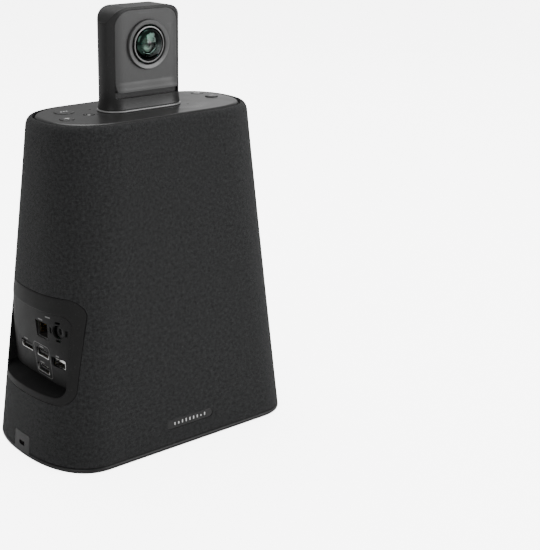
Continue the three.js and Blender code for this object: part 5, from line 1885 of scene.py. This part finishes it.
@dataclass
class Head(SubAssembly):
    """Slab-shaped head: light ring, shell with a plinth, and a face on each side."""

    corner: float = 16.0
    ring_margin: float = 1.4
    ring_height: float = 1.1
    gap: float = 0.3
    plinth_top: float = 9.7
    flare: float = 0.8
    neck: float = 3.2
    face_half: float = 27.0
    face_low: float = 14.0
    face_high: float = 71.4
    face_corner: float = 12.0
    face_thickness: float = 3.5
    lip_reach: float = 1.9
    wall: float = 2.2
    lens_z: float = 46.4
    lens_seat: float = 17.7
    lens_bore: float = 14.6

    def mesh(self) -> None:
        """Builds the ring, the shell and both faces."""
        self.keep(self._ring(), LIGHT_RING, replaces=["light_ring"])
        self.keep(self._shell(), HOUSING, replaces=["head_shell"])
        self.keep(self._face("front"), FACE, replaces=["face_front"])
        self.keep(turned_round(self._face("rear")), FACE, replaces=["face_rear"])

    def _z(self, height: float) -> float:
        """Returns a height above the top plate as a height above the table."""
        return self.design.plate_z + height

    def _ring(self) -> Object:
        """Returns the thin ring between the plate and the head."""
        margin = -self.ring_margin
        low = self._z(self.gap)
        high = low + self.ring_height
        rows = [(margin + 0.1, low), (margin, low + 0.15), (margin, high - 0.5), (margin + 0.2, high - 0.12),
                (margin + 0.5, high)]
        return self.design.head.skin("frosted_ring", solid_profile(rows), LIGHT_RING)

    def _window(self, inset: float, start: float, end: float) -> Object:
        """Returns a prism of the face's outline along Y."""
        loop = rounded_loop(
            (-self.face_half + inset, self._z(self.face_low + inset)),
            (self.face_half - inset, self._z(self.face_high - inset)),
            (2.0, self.face_corner - inset), 16,
        )
        return prism("window", loop, "Y", start, end)

    def _shell(self) -> Object:
        """Returns the shell: side walls, top, plinth and neck grooves."""
        head = self.design.head
        half_x, half_y, _ = head.at(0)
        low = self.ring_height + 2 * self.gap
        bend = [(k / 8) for k in range(1, 9)]
        rows = [(-self.flare + 0.35, self._z(low)), (-self.flare, self._z(low + 0.35))]
        rows += [(-self.flare * (1 - s) ** 2,
                  self._z(low + 0.35 + (self.plinth_top - low - 0.35) * s)) for s in bend]
        tall = head.top_z + 5
        rows += [(0.0,
                  self._z(self.plinth_top) + (tall - self._z(self.plinth_top)) * k / 6) for k in range(1, 7)]
        shell = head.skin("head_casing", solid_profile(rows), HOUSING)
        reach = half_x + 6
        loop = rounded_loop((-half_x, self._z(self.plinth_top)), (half_x, head.top_z), (0.01, self.corner),
                            24)
        silhouette = prism("silhouette", loop, "Y", -20, 20)
        foot = box("foot", (-reach, -20, self._z(0)), (reach, 20, self._z(self.plinth_top + 0.01)))
        carve(silhouette, [foot], "UNION")
        carve(shell, [silhouette], "INTERSECT")
        front = -half_y + self.face_thickness + self.gap
        neck_y = -half_y + self.neck
        cutters = []
        for side in (1, -1):
            cutters.append(self._window(0, *sorted((side * 30, side * -front))))
            groove = rounded_loop((-self.face_half, self._z(self.plinth_top)),
                                  (self.face_half, self._z(self.face_low + 1)), (1.2, 0.3), 6)
            cutters.append(prism("groove", groove, "Y", *sorted((side * 30, side * -neck_y))))
        inside = Taper(tuple(v - self.wall for v in (half_x, half_y)) + (head.base[2],),
                       tuple(v - self.wall for v in (half_x, half_y)) + (head.base[2],), head.top_z,
                       head.power)
        cavity_rows = [(0.0, self._z(self.face_low)), (0.0, head.top_z)]
        cavity = inside.skin("cavity", solid_profile(cavity_rows), HOUSING)
        room = rounded_loop((self.wall - half_x, self._z(self.face_low)),
                            (half_x - self.wall, head.top_z - self.wall), (1.0, self.corner - self.wall), 16)
        cutters.append(carve(cavity, [prism("room", room, "Y", -20, 20)], "INTERSECT"))
        carve(shell, cutters)
        return soften(shell, 0.9, 3, 42)

    def _face(self, side: str) -> Object:
        """Returns a face with its flared lower lip and the bore for the lens."""
        head = self.design.head
        half_y = head.base[1]
        flare = [(0.0, 0.3 - self.lip_reach), (0.3, -self.lip_reach), (0.9, -self.lip_reach * 0.97)]
        for k in range(1, 13):
            share = k / 12
            rise = 0.9 + 6.6 * share
            flare.append((rise, -self.lip_reach * (0.5 + 0.5 * math.cos(math.pi * share)) + 0.2 * share))
        rows = [(inset, self._z(self.face_low + rise)) for rise, inset in flare]
        tall = head.top_z + 5
        rows += [(0.2, rows[-1][1] + (tall - rows[-1][1]) * k / 5) for k in range(1, 6)]
        face = head.skin(f"{side}_face", solid_profile(rows), FACE)
        carve(face, [self._window(self.gap, -30, -half_y + self.face_thickness)], "INTERSECT")
        lens_z = self._z(self.lens_z)
        centre = (0, 0, lens_z)
        seat = lathe("seat",
                     [(0, -30), (self.lens_seat, -30), (self.lens_seat, -half_y + 1.2), (0, -half_y + 1.2)],
                     centre, "Y", 96)
        bore = lathe("bore", [(0, -31), (self.lens_bore, -31), (self.lens_bore, 0), (0, 0)], centre, "Y", 96)
        carve(face, [seat, bore])
        return soften(face, 0.55, 3, 42)


@dataclass
class Lens(SubAssembly):
    """Wide-angle lens of one face: outer ring, barrel, coated dome and inner elements."""

    side: str = "front"
    ring: Pair = (17.4, 14.2)
    ring_reach: float = 2.0
    barrel: Pair = (12.9, 11.4)
    barrel_reach: float = 1.9
    dome: Pair = (11.0, 4.4)
    iris: float = 6.6

    def mesh(self) -> None:
        """Builds the lens from the outside in."""
        half_y = self.design.head.base[1]
        low, high = node_box("lens_ring_front")
        centre = (0, 0, (low.z + high.z) / 2)
        face = -half_y
        front = face - self.ring_reach
        outer, bore = self.ring
        ring = [(outer, face + 0.9), (outer, front + 0.6), (outer - 0.15, front + 0.2), (outer - 0.5, front),
                (bore + 0.6, front + 0.35), (bore + 0.15, front + 0.6), (bore, front + 1.0),
                (bore, face + 0.9)]
        self._add("outer_ring", ring, centre, RING, "lens_ring")
        tip = face - self.barrel_reach
        outer, bore = self.barrel
        wall = bore + 0.3
        barrel = [(outer, face + 6.5), (outer, tip + 0.35), (outer - 0.15, tip + 0.08), (outer - 0.45, tip),
                  (wall + 0.15, tip + 0.05), (wall, tip + 0.3), (wall, face + 6.5)]
        self._add("barrel", barrel, centre, BARREL, "lens_barrel")
        seat = tip + 1.5
        steps = 9
        funnel = [(wall, face + 6.4), (wall, tip + 0.5), (bore - 0.1, tip + 0.7), (bore - 0.15, seat)]
        for k in range(1, steps + 1):
            share = k / steps
            radius = bore + (self.iris + 0.4 - bore) * share
            depth = seat + 0.9 * share
            funnel += [(radius, depth - 0.25), (radius - 0.05, depth)]
        funnel += [(self.iris + 0.3, seat + 1.2), (self.iris + 0.3, face + 6.4)]
        self._add("light_baffle", funnel, centre, BLACKED)
        stop = seat + 0.5
        band = [(self.iris + 0.2, stop + 1.2), (self.iris + 0.2, stop - 0.1), (self.iris, stop - 0.25),
                (self.iris - 0.25, stop - 0.2), (self.iris - 0.3, stop + 0.2), (self.iris - 0.3, stop + 1.2)]
        self._add("element_band", band, centre, BARREL)
        radius, height = self.dome
        edge = tip + 0.6
        arcs = [math.radians(90 * k / 16) for k in range(17)]
        outside = [(radius * math.sin(a), edge - height * math.cos(a)) for a in arcs]
        inside = [((radius - 1.1) * math.sin(a),
                   edge + 0.8 - (height - 0.5) * math.cos(a)) for a in reversed(arcs)]
        coated = replace(DOME, axis=centre[2] * MM)
        self._add("dome", [*outside, (radius, edge + 0.8), *inside], centre, coated, "lens_dome")
        rim = self.iris - 0.35
        bulge = [(rim * s, stop + 0.3 - 2.6 * (1 - s * s)) for s in (0, 0.15, 0.3, 0.45, 0.6, 0.75, 0.9, 1.0)]
        self._add("inner_glass", [*bulge, (rim, stop + 2.2), (0, stop + 2.2)], centre, INNER_GLASS,
                  "inner_lens")
        pupil = [(0, stop + 3.2), (2.1, stop + 3.1), (2.4, stop + 2.7), (self.iris, stop + 2.6),
                 (self.iris, stop + 4.0), (0, stop + 4.0)]
        self._add("pupil", pupil, centre, BLACKED)

    def _add(self, name: str, profile: Sequence[Pair], centre: Point, finish: Finish,
             stands_for: str | None = None) -> None:
        """Turns a profile about the lens axis, turns it round for the rear lens, and keeps it.

        Args:
            name: what the piece is.
            profile: (radius, Y) pairs.
            centre: where the axis and Y 0 are.
            finish: its finish.
            stands_for: the CAD node's name without its side, if it replaces one.
        """
        piece = smooth(lathe(f"{name}_{self.side}", profile, centre, "Y", 112), 28)
        if self.side == "rear":
            turned_round(piece)
        nodes = [f"{stands_for}_{self.side}"] if stands_for else []
        self.keep(piece, finish, replaces=nodes)


@dataclass
class Works(SubAssembly):
    """Everything inside: the CAD nodes that stay, with better finishes."""

    nodes: dict[str, Object] = field(default_factory=dict)
    finishes: dict[str, tuple[str, ...]] = field(default_factory=lambda: {
        "inner": ("cabinet_front", "cabinet_rear", "driver_basket", "radiator_frame", "head_ribbon"),
        "rubber": ("driver_surround", "radiator_surround"),
        "steel": ("lock_plate", "driver_magnet", "radiator_plate"),
        "aluminium": ("heat_sink", "head_chassis"),
        "board": ("port_board", "main_board", "control_board_left", "control_board_right",
                  "sensor_board_front", "sensor_board_rear"),
        "cone": ("driver_cone",),
    })

    def mesh(self) -> None:
        """Adds no mesh: the CAD shapes of these pieces are right."""

    def dress(self) -> None:
        """Dresses the carried-over nodes."""
        known = {"inner": INNER, "rubber": RUBBER, "steel": STEEL, "aluminium": ALUMINIUM, "board": BOARD,
                 "cone": CONE}
        for key, nodes in self.finishes.items():
            for node in nodes:
                dress_node(self.nodes, node, known[key])
        for node in Controls.bodies:
            dress_node(self.nodes, node.replace("button", "switch"), INNER)


# ---- Studio ---------------------------------------------------------------------------------


@dataclass(frozen=True)
class Softbox:
    """A square studio light aimed at the object."""

    name: str
    place: Point  # metres
    size: float  # metres
    power: float  # watts
    aim: Point = (0.0, 0.0, 0.15)

    def light(self) -> None:
        """Adds the light."""
        lamp = bpy.data.lights.new(self.name, "AREA")
        lamp.shape = "SQUARE"
        lamp.size = self.size
        lamp.energy = self.power
        holder = bpy.data.objects.new(self.name, lamp)
        holder.location = self.place
        holder.rotation_euler = (Vector(self.aim) - Vector(self.place)).to_track_quat("-Z", "Y").to_euler()
        bpy.context.scene.collection.objects.link(holder)


@dataclass(frozen=True)
class Studio:
    """Pale floor, soft lights and the camera."""

    camera_place: Point = (-0.5077, -0.7230, 0.4138)
    camera_turn: float = -37.80  # degrees about Z, from looking along +Y
    camera_pitch: float = -15.19
    lens: float = 81.53  # millimetres, on a 36 mm sensor
    shift: Pair = (0.1316, -0.1409)
    floor_half: float = 6.0
    floor_glow: float = 6.0
    softboxes: tuple[Softbox, ...] = (
        Softbox("key_left", (-1.3, -0.7, 1.25), 1.1, 12.0),
        Softbox("top", (0.2, 0.5, 1.7), 1.2, 30.0),
        Softbox("front_right", (1.0, -1.5, 0.8), 1.2, 34.0),
        Softbox("back_right", (1.35, 1.15, 0.75), 0.8, 1.6),
    )

    def build(self) -> None:
        """Builds the floor, the lights, the sky and the camera."""
        half = self.floor_half
        floor = mesh_object("floor", [(x / MM, y / MM, 0) for x, y in (
            (-half, -half), (half, -half), (half, half), (-half, half))], [(0, 1, 2, 3)])
        floor.data.materials.append(self._floor_finish())
        for softbox in self.softboxes:
            softbox.light()
        world = bpy.data.worlds.new("studio")
        world.use_nodes = True
        sky = world.node_tree.nodes["Background"]
        sky.inputs["Color"].default_value = (1.0, 1.0, 1.0, 1.0)
        sky.inputs["Strength"].default_value = 0.38
        bpy.context.scene.world = world
        view = bpy.data.cameras.new("camera")
        view.lens = self.lens
        view.sensor_width = 36.0
        view.shift_x, view.shift_y = self.shift
        camera = bpy.data.objects.new("camera", view)
        camera.location = self.camera_place
        camera.rotation_euler = (math.radians(90 + self.camera_pitch), 0.0, math.radians(self.camera_turn))
        bpy.context.scene.collection.objects.link(camera)
        bpy.context.scene.camera = camera

    def _floor_finish(self) -> bpy.types.Material:
        """Returns a pale, faintly mottled floor material that is seen brighter than it lights."""
        made = bpy.data.materials.new("pale_floor")
        made.use_nodes = True
        board = NodeBoard(made.node_tree)
        shader = next(n for n in made.node_tree.nodes if n.type == "BSDF_PRINCIPLED")
        place = board.put("ShaderNodeTexCoord").outputs["Object"]
        cloud = board.put("ShaderNodeTexNoise", {"Vector": place, "Scale": 2.0}).outputs[0]
        board.feed(shader.inputs["Base Color"],
                   board.mix(cloud, (0.93, 0.93, 0.93, 1.0), (0.96, 0.96, 0.96, 1.0)))
        shader.inputs["Roughness"].default_value = 0.9
        shader.inputs["Specular IOR Level"].default_value = 0.1
        shader.inputs["Emission Color"].default_value = (1.0, 1.0, 1.0, 1.0)
        seen = board.put("ShaderNodeLightPath").outputs["Is Camera Ray"]
        board.feed(shader.inputs["Emission Strength"], board.math("multiply", seen, self.floor_glow))
        return made


# ---- Making ---------------------------------------------------------------------------------


def main() -> None:
    """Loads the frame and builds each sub-assembly in order."""
    logging.basicConfig(level=logging.INFO, format="%(message)s")
    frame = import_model()
    Studio().build()
    design = Design.from_frame()
    parts: list[SubAssembly] = [
        Works(design, nodes=frame["nodes"]), Sleeve(design), Badge(design), Base(design), PortBay(design),
        TopPlate(design), Controls(design), Head(design), Lens(design, side="front"),
        Lens(design, side="rear"),
    ]
    for part in parts:
        part.build()


if __name__ == "__main__":
    main()
